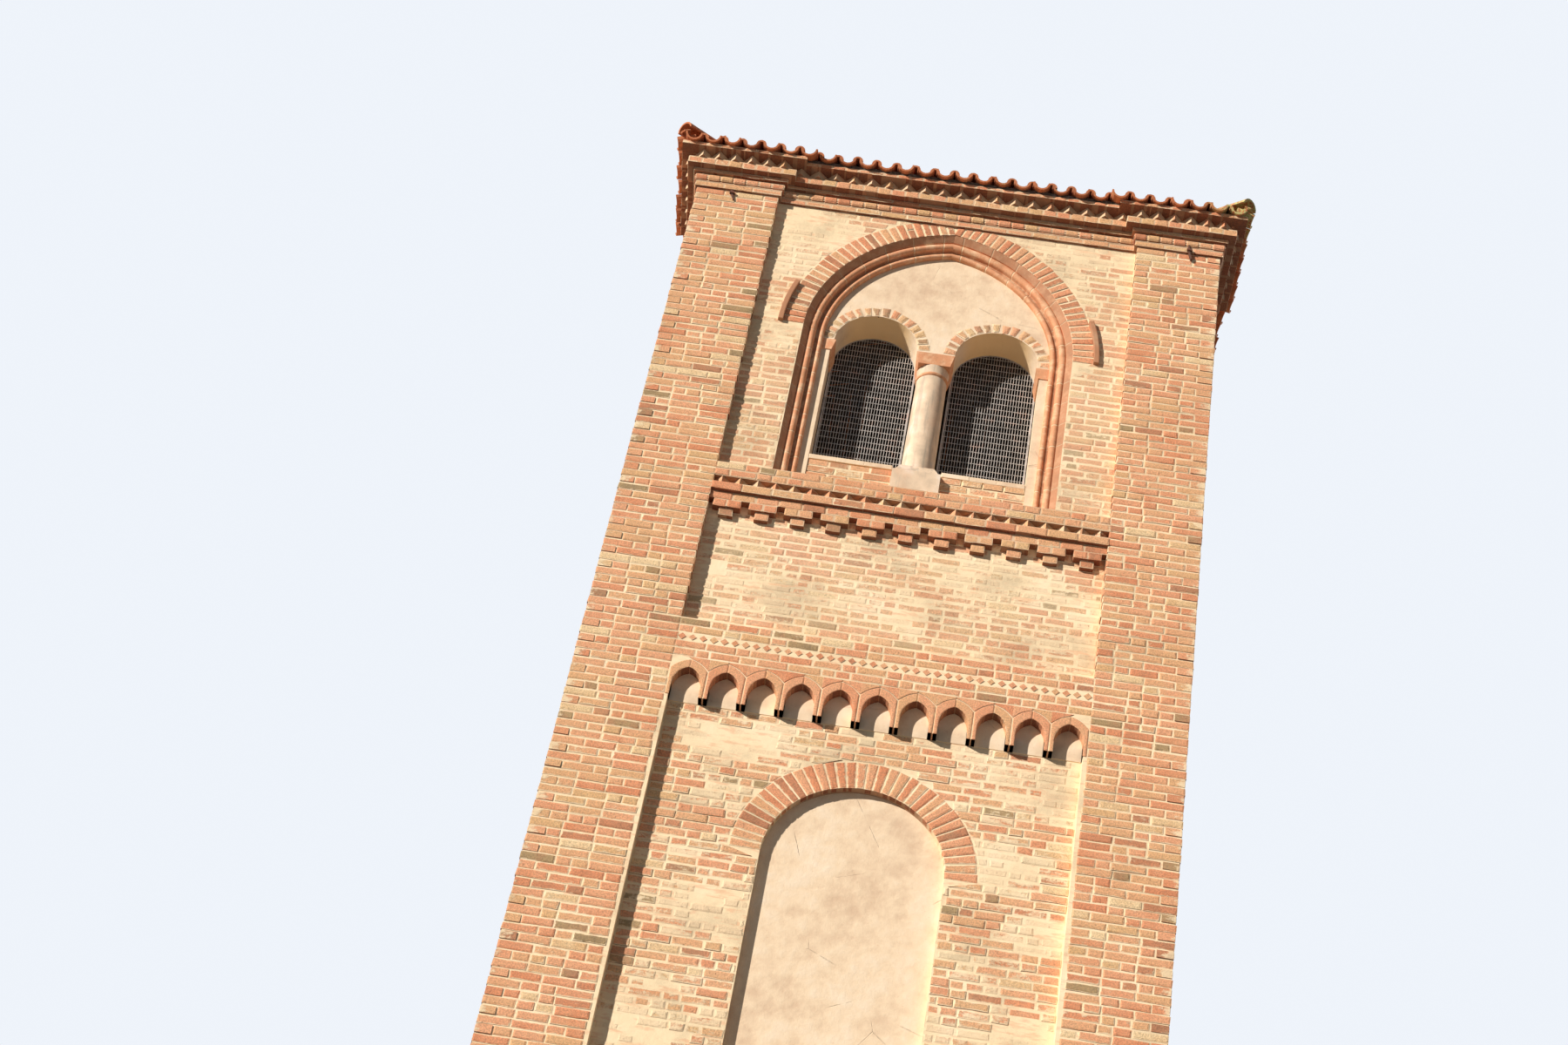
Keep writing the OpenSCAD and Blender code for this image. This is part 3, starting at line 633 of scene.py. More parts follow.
def make_iron(tints):
    """Dark iron, rusted all over."""
    paint = Paint("rusty_iron", 0.8)
    rust = paint.noise(40, 5, 0.65)
    colour = paint.stops(rust, (
        (0.35, darker(tints.boards, 0.5)), (0.60, darker(tints.red, 0.35)),
        (0.75, darker(tints.orange, 0.5))))
    return paint.finish(colour, height=rust, depth=0.003)


def make_boards(tints):
    """Dark boards with gaps between them."""
    paint = Paint("aged_boards", 0.85)
    x, _, _ = paint.axes()
    grain = paint.noise(30, 5, 0.6, at=paint.stretched((1, 0.06, 1)))
    gap = 1 - x.saw(0.18).ramp(0.002, 0.006)
    colour = paint.stops(grain, (
        (0.30, darker(tints.boards, 0.55)), (0.52, tints.boards),
        (0.72, blended(tints.boards, (1, 1, 1), 0.15))))
    colour = paint.mix(gap, colour, darker(tints.boards, 0.25))
    return paint.finish(colour, height=grain - gap * 4, depth=0.003)


# Name, shift to red, mortar smeared on each brick, thin veil of mortar over all
BRICKWORK = (
    ("pier_brickwork", 0.0, 0.04, 0.11), ("panel_brickwork", 0.12, 0.10, 0.36),
    ("rough_brickwork", 0.0, 0.06, 0.16), ("arch_brickwork", 0.0, 0.04, 0.10),
    ("cornice_brickwork", 0.03, 0.05, 0.08), ("light_brickwork", 0.0, 0.06, 0.20),
)


def finishes():
    """All materials, made once."""
    if "lime_mortar" not in bpy.data.materials:
        tints = Colours(bpy.context.scene.tower_tints)
        make_mortar("lime_mortar", tints, 0.0)
        make_mortar("sooty_mortar", tints, 0.38)
        for name, redder, smear, veil in BRICKWORK:
            make_brick(name, tints, redder, smear, veil)
        for make in (make_terracotta, make_plaster, make_stone, make_tile, make_wire, make_iron, make_boards):
            make(tints)
    return bpy.data.materials


# Blocks

def join_mesh(name, points, faces, finish, numbers=None, rim=None, replaces=()):
    """Makes one piece that rides on the tower, and hides the nodes that it replaces."""
    mesh = bpy.data.meshes.new(name)
    mesh.from_pydata(points, [], faces)
    for key, values in (numbers or {}).items():
        layer = mesh.attributes.new(key, "FLOAT", "FACE")
        layer.data.foreach_set("value", np.asarray(values, np.float32))
    if rim is not None:
        mesh.attributes.new("rim", "FLOAT", "POINT").data.foreach_set("value", np.asarray(rim, np.float32))
    mesh.materials.append(finishes()[finish])
    mesh.update()
    piece = bpy.data.objects.new(name, mesh)
    bpy.context.scene.collection.objects.link(piece)
    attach(piece, BODY)
    if replaces:
        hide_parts(*replaces)


def signed_area(outline):
    """Area of an outline, positive where it runs anticlockwise."""
    return sum(a * d - c * b for (a, b), (c, d) in zip(outline, outline[1:] + outline[:1])) / 2


def rectangle(left, right, low, high):
    return [(left, low), (right, low), (right, high), (left, high)]


def spaced(count, pitch):
    """Middles of things that stand in a row at one pitch."""
    return [(k - (count - 1) / 2) * pitch for k in range(count)]


def arc(x, z, radius, turns, hand=1):
    """Points round a centre, mirrored where hand is -1."""
    return [(hand * (x + radius * math.cos(a)), z + radius * math.sin(a)) for a in turns]


def skin(rings, n, closed=False):
    """Faces between neighbouring rings of n points each."""
    return [[k * n + i, k * n + (i + 1) % n, (k + 1) % rings * n + (i + 1) % n, (k + 1) % rings * n + i]
            for k in range(rings if closed else rings - 1) for i in range(n)]


def on_side(side, along, out, up):
    """World places of points on a side of the tower, for numbers or arrays of them."""
    c, s = np.array((1, 0, -1, 0))[side], np.array((0, 1, 0, -1))[side]
    y = -(HALF + out)
    return along * c - y * s, along * s + y * c, up


class Blocks:
    """Solid blocks with worn edges on the tower's four sides, joined into one mesh.

    A block is an outline drawn along one axis of its side: "out" of the wall, "up", or "along" it."""

    def __init__(self, seed):
        self.draw = random.Random(seed)
        self.rows = {}

    def tone(self):
        """Most bricks are of a middle tone, a few are dark, grey or pale."""
        pick = self.draw.random()
        if pick < 0.03:
            return self.draw.uniform(0.08, 0.20)
        if pick < 0.12:
            return self.draw.uniform(0.24, 0.38)
        if pick > 0.90:
            return self.draw.uniform(0.70, 0.98)
        return self.draw.uniform(0.38, 0.68)

    def add(self, side, axis, outline, low, high, edge, cover=0.0, tone=None):
        outline = [tuple(p) for p in outline]
        if (signed_area(outline) > 0) != (axis == "out"):
            outline.reverse()
        tone = self.tone() if tone is None else tone
        self.rows.setdefault((axis, len(outline)), []).append((side, outline, low, high, edge, tone, cover))

    def face(self, side, outline, back, front, edge, cover=0.0, tone=None):
        """A block whose outline (along, height) is drawn out of the wall from back to front."""
        self.add(side, "out", outline, back, front, edge, cover, tone)

    def brick(self, side, left, right, low, high, back, front, edge, cover=0.0, tone=None):
        """A brick with corners a little out of true."""
        self.face(side, self.worn(rectangle(left, right, low, high)), back, front, edge, cover, tone)

    def worn(self, corners):
        """A brick's outline out of true, with one more corner on each long edge."""
        vary, loose = self.draw.uniform, OUT_OF_TRUE
        corners = [(x + vary(-loose, loose), z + vary(-loose, loose)) for x, z in corners]
        (a, b), (c, d), (e, f), (g, h) = corners
        low, high = vary(0.35, 0.65), vary(0.35, 0.65)
        return [(a, b), (a + (c - a) * low, b + (d - b) * low + vary(-loose, loose)), (c, d), (e, f),
                (e + (g - e) * high, f + (h - f) * high + vary(-loose, loose)), (g, h)]

    @staticmethod
    def inset(flat, edge):
        """The outlines taken in by edge all round."""
        before, after = np.roll(flat, 1, 1), np.roll(flat, -1, 1)
        turn = np.sign((after[..., 1] * flat[..., 0] - after[..., 0] * flat[..., 1]).sum(1))
        n1, n2 = (np.stack([-d[..., 1], d[..., 0]], 2)
                  / np.maximum(np.linalg.norm(d, axis=2, keepdims=True), 1e-9)
                  for d in (flat - before, after - flat))
        share = np.maximum(1 + (n1 * n2).sum(2, keepdims=True), 0.35)
        return flat + (n1 + n2) / share * edge * turn[:, None, None]

    @staticmethod
    def points(axis, side, ring, level):
        """World places of one ring of points on each block."""
        first, second = ring[..., 0], ring[..., 1]
        spots = {"out": (first, level, second), "up": (first, second, level),
                 "along": (level, first, second)}
        return np.stack(on_side(side[:, None], *np.broadcast_arrays(*spots[axis])), 2)

    def build(self, name, finish, slot, replaces=()):
        points, faces, tones, covers, rims = [], [], [], [], []
        start = 0
        for (axis, n), rows in sorted(self.rows.items()):
            side = np.array([r[0] for r in rows])
            flat = np.array([r[1] for r in rows], float)
            low, high, edge, tone, cover = (
                np.array([r[k] for r in rows], float)[:, None] for k in range(2, 7))
            small = self.inset(flat, edge[..., None])
            if axis == "out":
                rings = [(flat, low), (flat, high - edge * EDGE_DEEP), (small, high)]
            else:
                rings = [(small, low), (flat, low + edge), (flat, high - edge), (small, high)]
            shares = (0.0, 0.7, 0.0) if axis == "out" else (0.5, 0.3, 0.3, 0.5)
            rims.append(np.tile(np.repeat(shares, n), len(rows)))
            levels = len(rings)
            grid = np.stack([self.points(axis, side, ring, level) for ring, level in rings], 1)
            count = levels * n
            points.append(grid.reshape(-1, 3))
            pattern = skin(levels, n)
            base = start + np.arange(len(rows))[:, None, None] * count
            quads = (np.array(pattern)[None] + base).reshape(-1, 4).tolist()
            caps = (np.arange((levels - 1) * n, levels * n)[None] + base[:, 0]).tolist()
            faces += quads + caps
            ends = 1
            if axis != "out":
                faces += (np.arange(n)[::-1][None] + base[:, 0]).tolist()
                ends = 2
            for store, value in ((tones, tone), (covers, cover)):
                store.append(np.repeat(value[:, 0], len(pattern)))
                for _ in range(ends):
                    store.append(value[:, 0])
            start += len(rows) * count
        numbers = {"tone": np.concatenate(tones), "cover": np.concatenate(covers)}
        join_mesh(name, np.concatenate(points), faces, finish, numbers, np.concatenate(rims), replaces)


# Brickwork

def bond(draw, width, sizes, long_first):
    """Widths of the bricks that fill a length, stretchers and headers in turn."""
    widths, total, long_next = [], 0.0, long_first
    while total < width - 1e-6:
        step = sizes.stretcher if long_next else sizes.header
        step += draw.uniform(*UNEVEN)
        if draw.random() < SLIP:
            long_next = not long_next
        long_next = not long_next
        if width - total - step < SHORTEST_END:
            step = width - total
        widths.append(step)
        total += step
    return widths


def courses(sizes, low, high):
    """(number, bottom, top) of each course between two heights, without its joints."""
    first, last = int(round(low / sizes.course)), int(math.ceil(high / sizes.course - 1e-6))
    for k in range(first, last):
        bottom = k * sizes.course + sizes.joint / 2
        top = min((k + 1) * sizes.course, high) - sizes.joint / 2
        if top - bottom > 0.02:
            yield k, bottom, top


def lay_panel(blocks, side, half, low, high, face, proud, sizes,
              hole=None, cover=0.0, wild=0.002, patches=None):
    """Fills a panel with courses; hole(height) gives half of the width to leave open at a height.

    patches(along, height) is how thickly mortar lies on the wall: from HIDING on it hides the bricks."""
    draw, vary = blocks.draw, blocks.draw.uniform
    j = sizes.joint / 2
    for k, bottom, top in courses(sizes, low, high):
        left = -half
        first = draw.choice((sizes.stretcher, sizes.header, 0.19))
        widths = [first] + bond(draw, 2 * half - first, sizes, k % 2 == 0)
        for width in widths:
            right = left + width
            a, b = left + j, right - j
            left = right
            ends = [[a, b], [a, b]]
            if hole:
                for end, height in zip(ends, (bottom, top)):
                    reach = hole(height)
                    if reach > 0 and (a + b) < 0:
                        end[1] = min(end[1], -reach - j)
                    elif reach > 0:
                        end[0] = max(end[0], reach + j)
            if min(end[1] - end[0] for end in ends) < NARROWEST:
                continue
            thick = patches((a + b) / 2 + NEXT_SIDE * side, bottom) + vary(-0.30, 0.30) if patches else 0.0
            if thick > HIDING:
                continue
            lift = proud * (1 - max(0.0, thick) * 0.8)
            (a0, b0), (a1, b1) = ends
            outline = blocks.worn([(a0, bottom), (b0, bottom), (b1, top), (a1, top)])
            blocks.face(side, outline, face - BRICK_IN, face + lift + vary(-wild, wild), sizes.edge,
                        cover + max(0.0, thick) * 0.8 + vary(-0.25, 0.25))


PIER_BONDS = {
    True: ("SS", "SHH", "HSH", "HHS", "SHH"),
    False: ("SSH", "SHS", "HSS", "SHS", "HHHS", "SSH"),
}


def lay_pier(blocks, corner, sizes):
    """Bricks of one corner pier on both of its faces, with corner bricks that turn the corner."""
    draw, vary = blocks.draw, blocks.draw.uniform
    j, edge, proud = sizes.joint / 2, sizes.edge, sizes.proud
    side_a, side_b = corner, (corner + 3) % 4
    for k, bottom, top in courses(sizes, 0.0, Z_CORNICE):
        long_a = k % 2 == 0
        long_reach = sizes.stretcher + vary(-0.02, 0.014)
        short_reach = sizes.header + vary(-0.014, 0.012)
        out = proud + vary(-0.002, 0.0015)
        back = -short_reach + j
        cover = draw.uniform(-0.2, 0.2)
        if long_a:
            blocks.brick(side_a, -HALF - out, -HALF + long_reach - j, bottom, top, back, out, edge, cover)
        else:
            blocks.brick(side_b, HALF - long_reach + j, HALF + out, bottom, top, back, out, edge, cover)
        for side, hand in ((side_a, -1), (side_b, 1)):
            long_here = long_a == (side == side_a)
            at = HALF - (long_reach if long_here else short_reach)
            plan = draw.choice(PIER_BONDS[long_here])
            widths = [(sizes.stretcher if c == "S" else sizes.header) + vary(-0.02, 0.02) for c in plan]
            stretch = (at - PANEL_EDGE) / sum(widths)
            for n, width in enumerate(widths):
                last = n == len(widths) - 1
                a, b = at - width * stretch + j, at - j
                at -= width * stretch
                if last:
                    a -= j + vary(0.001, 0.010)
                left, right = (a, b) if hand > 0 else (-b, -a)
                blocks.brick(side, left, right, bottom, top, PANEL_OUT - 0.004 if last else -BRICK_IN,
                             proud + vary(-0.003, 0.0025), edge, vary(-0.3, 0.3))


def pointed_reach(half, point, springing, height):
    """Half of the width of a pointed arch at a height."""
    rise = height - springing
    if rise <= 0:
        return half
    radius = half + point
    return math.sqrt(radius * radius - rise * rise) - point if rise < radius else 0.0


def lay_ring(blocks, side, middle, springing, half, point, long, count, back, front, joint, edge,
             split=0.0, foot=0.0, limit=100.0, tones=(0.22, 0.62), loose=0.0015):
    """Radial bricks round an arch with count bricks on each half."""
    draw, vary = blocks.draw, blocks.draw.uniform
    radius = half + point
    top = math.acos(point / (radius + long / 2))
    for hand in (1, -1):
        for k in range(count):
            a0 = foot + (top - foot) * k / count
            a1 = foot + (top - foot) * (k + 1) / count
            length_out = long + vary(-0.006, 0.004)
            cuts = [0.0, length_out]
            if draw.random() < split:
                middle_cut = length_out * vary(0.4, 0.6)
                cuts = [0.0, middle_cut - joint / 3, middle_cut + joint / 3, length_out]
            for r0, r1 in zip(cuts[::2], cuts[1::2]):
                outline = []
                for out, angle, sign in ((r0, a0, 1), (r1, a0, 1), (r1, a1, -1), (r0, a1, -1)):
                    r = radius + out
                    angle += (sign * joint / 2 + vary(-loose, loose)) / r
                    r += draw.uniform(-loose, loose)
                    outline.append((middle + hand * (r * math.cos(angle) - point),
                                    min(springing + r * math.sin(angle), limit)))
                blocks.face(side, outline, back, front + vary(-0.002, 0.002), edge,
                            vary(-0.25, 0.25), vary(*tones))


def scene_sizes():
    """The sizes of the bricks and of the windows."""
    scene = bpy.context.scene
    return scene.tower_bricks, scene.tower_window


class TOWER_OT_lay_piers(bpy.types.Operator):
    """Lays the bricks of the four corner piers"""
    bl_idname = "tower.lay_piers"
    bl_label = "Pier bricks"

    def execute(self, context):
        sizes, _ = scene_sizes()
        names = ("front_left", "front_right", "back_right", "back_left")
        for corner, name in enumerate(names):
            blocks = Blocks(sizes.seed + corner)
            lay_pier(blocks, corner, sizes)
            blocks.build(f"{name}_pier_bricks", "pier_brickwork", "pier_brick")
        return {"FINISHED"}


class TOWER_OT_lay_panels(bpy.types.Operator):
    """Lays the bricks of the panels, the flush base and bands, and the belfry walls"""
    bl_idname = "tower.lay_panels"
    bl_label = "Panel bricks"

    def execute(self, context):
        sizes, window = scene_sizes()
        ring = window.half_width + window.ring

        def belfry_hole(height):
            if height < window.springing:
                return window.half_width
            return pointed_reach(ring, window.point, window.springing, height)

        def blind_hole(height):
            foot = window.blind_springing - window.blind_side
            if height < foot:
                return 0.0
            if height < window.blind_springing:
                return window.blind_half
            return pointed_reach(window.blind_half + window.blind_ring, 0.0, window.blind_springing, height)

        def smear(along, height):
            """Thick mortar on the belfry walls, mostly high up."""
            wave = noise.noise(Vector((along * 0.9, height * 1.3, 4.0))) + 0.5 * noise.noise(
                Vector((along * 2.3, height * 4.0, 9.0)))
            return 0.45 + wave * 1.3 + (height - Z_LEDGE - 2.0) * 0.36

        def rough(along, height):
            """Patches of thick mortar on the lower panels."""
            return 0.40 + 1.5 * noise.noise(Vector((along * 1.6, height * 2.6, 2.0)))

        def thin(along, height):
            """A thin coat on the plain panels."""
            return 0.42 + 1.1 * noise.noise(Vector((along * 0.8, height * 2.2, 6.0)))

        for side, name in enumerate(SIDES):
            lower = Blocks(sizes.seed + 20 + side)
            lay_panel(lower, side, PANEL_EDGE, 0.0, sizes.base, 0.0, sizes.proud, sizes, wild=0.003)
            lay_panel(lower, side, sizes.lower_panel, sizes.base, sizes.foot_band, PANEL_OUT, sizes.proud,
                      sizes, cover=0.1, wild=0.004, patches=rough)
            lay_panel(lower, side, PANEL_EDGE, sizes.foot_band, sizes.foot_band_top, 0.0, sizes.proud, sizes)
            lay_panel(lower, side, sizes.lower_panel, sizes.foot_band_top, Z_BAND, PANEL_OUT, sizes.proud,
                      sizes, hole=blind_hole, cover=0.1, wild=0.004, patches=rough)
            lower.build(f"{name}_lower_bricks", "rough_brickwork", "panel_brick")
            upper = Blocks(sizes.seed + 30 + side)
            lay_panel(upper, side, PANEL_EDGE, Z_PLAIN, STRING_Z + 2 * sizes.course, PANEL_OUT,
                      sizes.panel_proud, sizes, patches=thin)
            lay_panel(upper, side, PANEL_EDGE, Z_LEDGE, Z_CORNICE, BELFRY_OUT, sizes.panel_proud, sizes,
                      hole=belfry_hole, cover=0.05, patches=smear)
            upper.build(f"{name}_upper_bricks", "panel_brickwork", "panel_brick")
        return {"FINISHED"}


class TOWER_OT_lay_arches(bpy.types.Operator):
    """Lays the radial bricks round the big arches, the lights and the walled-up windows"""
    bl_idname = "tower.lay_arches"
    bl_label = "Arch bricks"

    def execute(self, context):
        sizes, window = scene_sizes()
        big, blind, small = (Blocks(sizes.seed + 40 + k) for k in range(3))
        for side in range(4):
            lay_ring(big, side, 0.0, window.springing, window.half_width, window.point, window.ring, 28,
                     BELFRY_OUT - 0.05, BELFRY_OUT + sizes.proud, sizes.joint * 1.4, sizes.edge * 0.8,
                     split=0.06, limit=Z_CORNICE - 0.005)
            lay_ring(blind, side, 0.0, window.blind_springing, window.blind_half, 0.0, window.blind_ring, 17,
                     PANEL_OUT - 0.05, PANEL_OUT + sizes.proud, sizes.joint, sizes.edge)
            for hand in (-1, 1):
                lay_ring(small, side, hand * window.light_middle, window.light_springing,
                         window.light_half + 0.007, 0.0, window.light_ring - 0.012, 8,
                         -window.screen - BRICK_IN, -window.screen + 0.009,
                         sizes.joint * 1.4, sizes.edge * 1.5, foot=0.03, tones=(0.14, 0.86), loose=0.009)
        big.build("window_ring_bricks", "arch_brickwork", "arch_brick")
        blind.build("relieving_arch_bricks", "arch_brickwork", "arch_brick")
        small.build("light_ring_bricks", "light_brickwork", "arch_brick")
        return {"FINISHED"}


def small_arch_side(sizes, springing, radius, hand, stop):
    """Points of one half of a small pointed arch at a radius, from the springing, or from stop, up."""
    point = sizes.rise * sizes.rise / sizes.width - sizes.width / 4
    top = math.acos(point / radius)
    low = 0.0
    if stop is not None and radius - point > stop:
        low = math.acos((stop + point) / radius)
    return arc(-point, springing, radius, np.linspace(low, top, 7), hand)


def arch_line(half, point, springing, foot=None):
    """Points of a pointed arch from its left foot over the crown to its right foot.

    Where the height foot is given, the arch starts there instead of at its springing."""
    radius = half + point
    low = math.asin((foot - springing) / radius) if foot else 0.0
    right = arc(-point, springing, radius, np.linspace(low, math.acos(point / radius), 40))
    return [(-a, z) for a, z in right] + right[-2::-1]


def moulding_section(sizes):
    """Section (distance from the window's middle, depth) of the surround: splay, roll, hollow, roll."""
    face, back = -BELFRY_OUT + 0.0015, MOULDING_BACK
    outer, splay_in = sizes.half_width + MOULDING_LAP, sizes.half_width - sizes.splay
    deep = -BELFRY_OUT + sizes.splay_deep
    roll_x, roll_y = splay_in + 0.004 - sizes.roll, deep + sizes.roll
    inner_x, inner_y = sizes.moulding_in + sizes.inner_roll, sizes.screen - sizes.inner_roll
    line = [(outer, back), (outer, face), (sizes.half_width, face), (splay_in, deep),
            (splay_in, deep + 0.018)]
    line += arc(roll_x, roll_y, sizes.roll, np.linspace(-0.49, -math.pi, 11))
    line += [(roll_x - sizes.roll, sizes.hollow), (inner_x + sizes.inner_roll, sizes.hollow)]
    line += arc(inner_x, inner_y, sizes.inner_roll, np.linspace(-0.1, -math.pi, 9))
    return line + [(sizes.moulding_in, back)]


class TOWER_OT_mould_windows(bpy.types.Operator):
    """Sweeps the moulded surrounds round the big arches, and adds mortar beds, plaster heads and hood ends"""
    bl_idname = "tower.mould_windows"
    bl_label = "Window mouldings"

    def execute(self, context):
        bricks, sizes = scene_sizes()
        section = moulding_section(sizes)
        steps = 36
        rows = [[(x, -deep, z) for x, deep in section] for z in (Z_LEDGE, sizes.springing)]
        for k in range(1, steps + 1):
            row = []
            for x, deep in section:
                radius = x + sizes.point
                a = math.acos(sizes.point / radius) * k / steps
                along, up = arc(-sizes.point, sizes.springing, radius, [a])[0]
                row.append((along, -deep, up))
            rows.append(row)
        points, faces = [], []
        for side in range(4):
            for hand in (1, -1):
                base = len(points)
                points += [on_side(side, hand * along, out, up) for row in rows for along, out, up in row]
                for quad in skin(len(rows), len(section)):
                    face = [base + i for i in quad]
                    faces.append(face[::-1] if hand > 0 else face)
        join_mesh("window_mouldings", points, faces, "moulded_terracotta",
                  replaces=("window_surrounds",))

        beds, heads, ends = (Blocks(bricks.seed + 46 + k) for k in range(3))
        for side in range(4):
            near, far, springing = sizes.half_width, sizes.half_width + BED_WIDE, sizes.springing
            inner = arch_line(near, sizes.point, springing)
            outer = arch_line(FRAME_RING_HALF, FRAME_POINT, FRAME_SPRINGING)
            foot = [(near, Z_LEDGE), (far, Z_LEDGE), (far, springing), (FRAME_RING_HALF, springing)]
            outline = [(-a, z) for a, z in foot] + outer + foot[::-1] + inner[::-1]
            outline = [(a, min(z, Z_CORNICE - 0.002)) for a, z in outline]
            beds.face(side, outline, BELFRY_OUT - 0.06, BELFRY_OUT - 0.0005, 0.0001)
            outer = arch_line(sizes.moulding_in + 0.015, sizes.point, springing, HEAD_FOOT)
            inner = arch_line(FRAME_SCREEN_HALF, FRAME_POINT, FRAME_SPRINGING, HEAD_FOOT)
            heads.face(side, outer + inner[::-1], -sizes.screen - 0.03, -sizes.screen - 0.0003, 0.0001)
            for hand in (-1, 1):
                radius = sizes.half_width + sizes.point + sizes.ring
                turns = np.linspace(0.0, sizes.stub_turn, 7)
                outline = arc(-sizes.point, springing, radius, turns, hand)
                outline += arc(-sizes.point, springing, radius + sizes.stub_wide, turns[::-1], hand)
                ends.face(side, outline, BELFRY_OUT - 0.01, BELFRY_OUT + sizes.stub_out, 0.006)
        beds.build("window_ring_beds", "lime_mortar", "arch_brick", ("window_arch_rings",))
        heads.build("tympanum_heads", "lime_plaster", "plaster")
        ends.build("hood_mould_ends", "moulded_terracotta", "terracotta", ("hood_stubs",))
        return {"FINISHED"}


class TOWER_OT_set_arcade(bpy.types.Operator):
    """Sets the moulded arches, the plaster behind them, the lozenge row and the courses of the band"""
    bl_idname = "tower.set_arcade"
    bl_label = "Arcade band"

    def execute(self, context):
        bricks, _ = scene_sizes()
        sizes = context.scene.tower_band
        strips, rows, plaster = (Blocks(bricks.seed + 50 + k) for k in range(3))
        gap = bricks.joint * 0.45
        half = sizes.width / 2
        point = sizes.rise * sizes.rise / sizes.width - sizes.width / 4
        springing = Z_BAND + sizes.leg
        stop = sizes.pitch / 2 - gap
        top = Z_BAND + 5 * bricks.course - gap
        proud = bricks.proud * 0.8
        vary, vary_row = strips.draw.uniform, rows.draw.uniform
        for side in range(4):
            for k, middle in enumerate(spaced(sizes.arches, sizes.pitch)):
                for hand in (-1, 1):
                    inner = small_arch_side(sizes, springing, half + point, hand, None)
                    outer = small_arch_side(sizes, springing, half + point + sizes.strip, hand, stop)
                    push = hand * gap * 0.6
                    inner[-1] = (push, inner[-1][1] - gap * 0.3)
                    outer[-1] = (push, outer[-1][1])
                    outline = [(hand * half, Z_BAND)] + inner + outer[::-1] + [(hand * stop, Z_BAND)]
                    outline = [(middle + a, z) for a, z in outline]
                    strips.face(side, outline, PANEL_OUT + 0.001, bricks.proud + vary(-0.001, 0.002), 0.007,
                                vary(-0.4, 0.0), vary(0.4, 0.66))
                    if k == (0 if hand < 0 else sizes.arches - 1):
                        continue
                    flank = [(middle + a + hand * gap, z + gap) for a, z in outer]
                    flank = flank[:1] + [p for p in flank[1:] if p[1] < top - 0.012]
                    between = middle + hand * sizes.pitch / 2
                    wedge = [(between, top), (between, flank[0][1] + gap)] + flank[1:]
                    wedge.append((flank[-1][0] - hand * 0.03, top))
                    strips.face(side, wedge, -BRICK_IN, proud, 0.004, vary(-0.2, 0.1), vary(0.35, 0.7))
                head = small_arch_side(sizes, springing, half + point, 1, None)
                shape = [(half, Z_BAND)] + head + [(-a, z) for a, z in head[::-1][1:]] + [(-half, Z_BAND)]
                shape = [(middle + a, z) for a, z in shape]
                plaster.face(side, shape, PANEL_OUT - 0.01, PANEL_OUT + 0.006, 0.002)
            lay_panel(rows, side, PANEL_EDGE, top + gap, top + gap + 2 * bricks.course, 0.0, proud, bricks)
            z = Z_BAND + 7.5 * bricks.course
            for at in spaced(int(2 * PANEL_EDGE / sizes.lozenge_pitch), sizes.lozenge_pitch):
                r = sizes.lozenge / 2 + vary_row(-0.003, 0.002)
                rows.face(side, [(at - r, z), (at, z - r), (at + r, z), (at, z + r)], -0.01, proud, 0.003,
                          vary_row(-0.1, 0.3), vary_row(0.3, 0.7))
            lay_panel(rows, side, PANEL_EDGE, Z_BAND + 8 * bricks.course, Z_PLAIN, 0.0, proud, bricks)
        strips.build("arcade_mouldings", "arch_brickwork", "terracotta")
        rows.build("arcade_band_bricks", "pier_brickwork", "cornice_brick")
        plaster.build("arcade_plaster", "lime_plaster", "plaster")
        return {"FINISHED"}


def equal_parts(left, right, pitch):
    """(left, right) of the equal parts of about one pitch that fill a length."""
    count = max(1, int(round((right - left) / pitch)))
    step = (right - left) / count
    return [(left + k * step, left + (k + 1) * step) for k in range(count)]


def brick_run(blocks, side, left, right, low, high, back, front, pitch, joint, edge,
              cover=0.0, tones=(0.25, 0.75)):
    """One course of bricks of about the same width that fills a length exactly."""
    vary = blocks.draw.uniform
    parts = equal_parts(left, right, pitch)
    for k, (a, b) in enumerate(parts):
        a += joint / 2 if k else 0.0
        b -= joint / 2 if k < len(parts) - 1 else 0.0
        blocks.brick(side, a, b, low, high, back, front + vary(-0.003, 0.003), edge, cover + vary(-0.3, 0.3),
                     vary(*tones))


def lay_teeth(blocks, side, left, right, count, valley, low, high, gap, tips, nib, covers, tones):
    """Bricks set on edge that fill a length, so that their corners stand out of the valley as teeth."""
    vary = blocks.draw.uniform
    run = (right - left) / count
    for k in range(count):
        middle = left + (k + 0.5) * run
        w = run / 2 - gap
        tip = vary(*tips)
        outline = [(middle - w, valley + tip), (middle, valley + TOOTH_DEEP + tip + nib),
                   (middle + w, valley + tip), (middle, valley - TOOTH_DEEP)]
        blocks.add(side, "up", outline, low, high, 0.003, vary(*covers), vary(*tones))


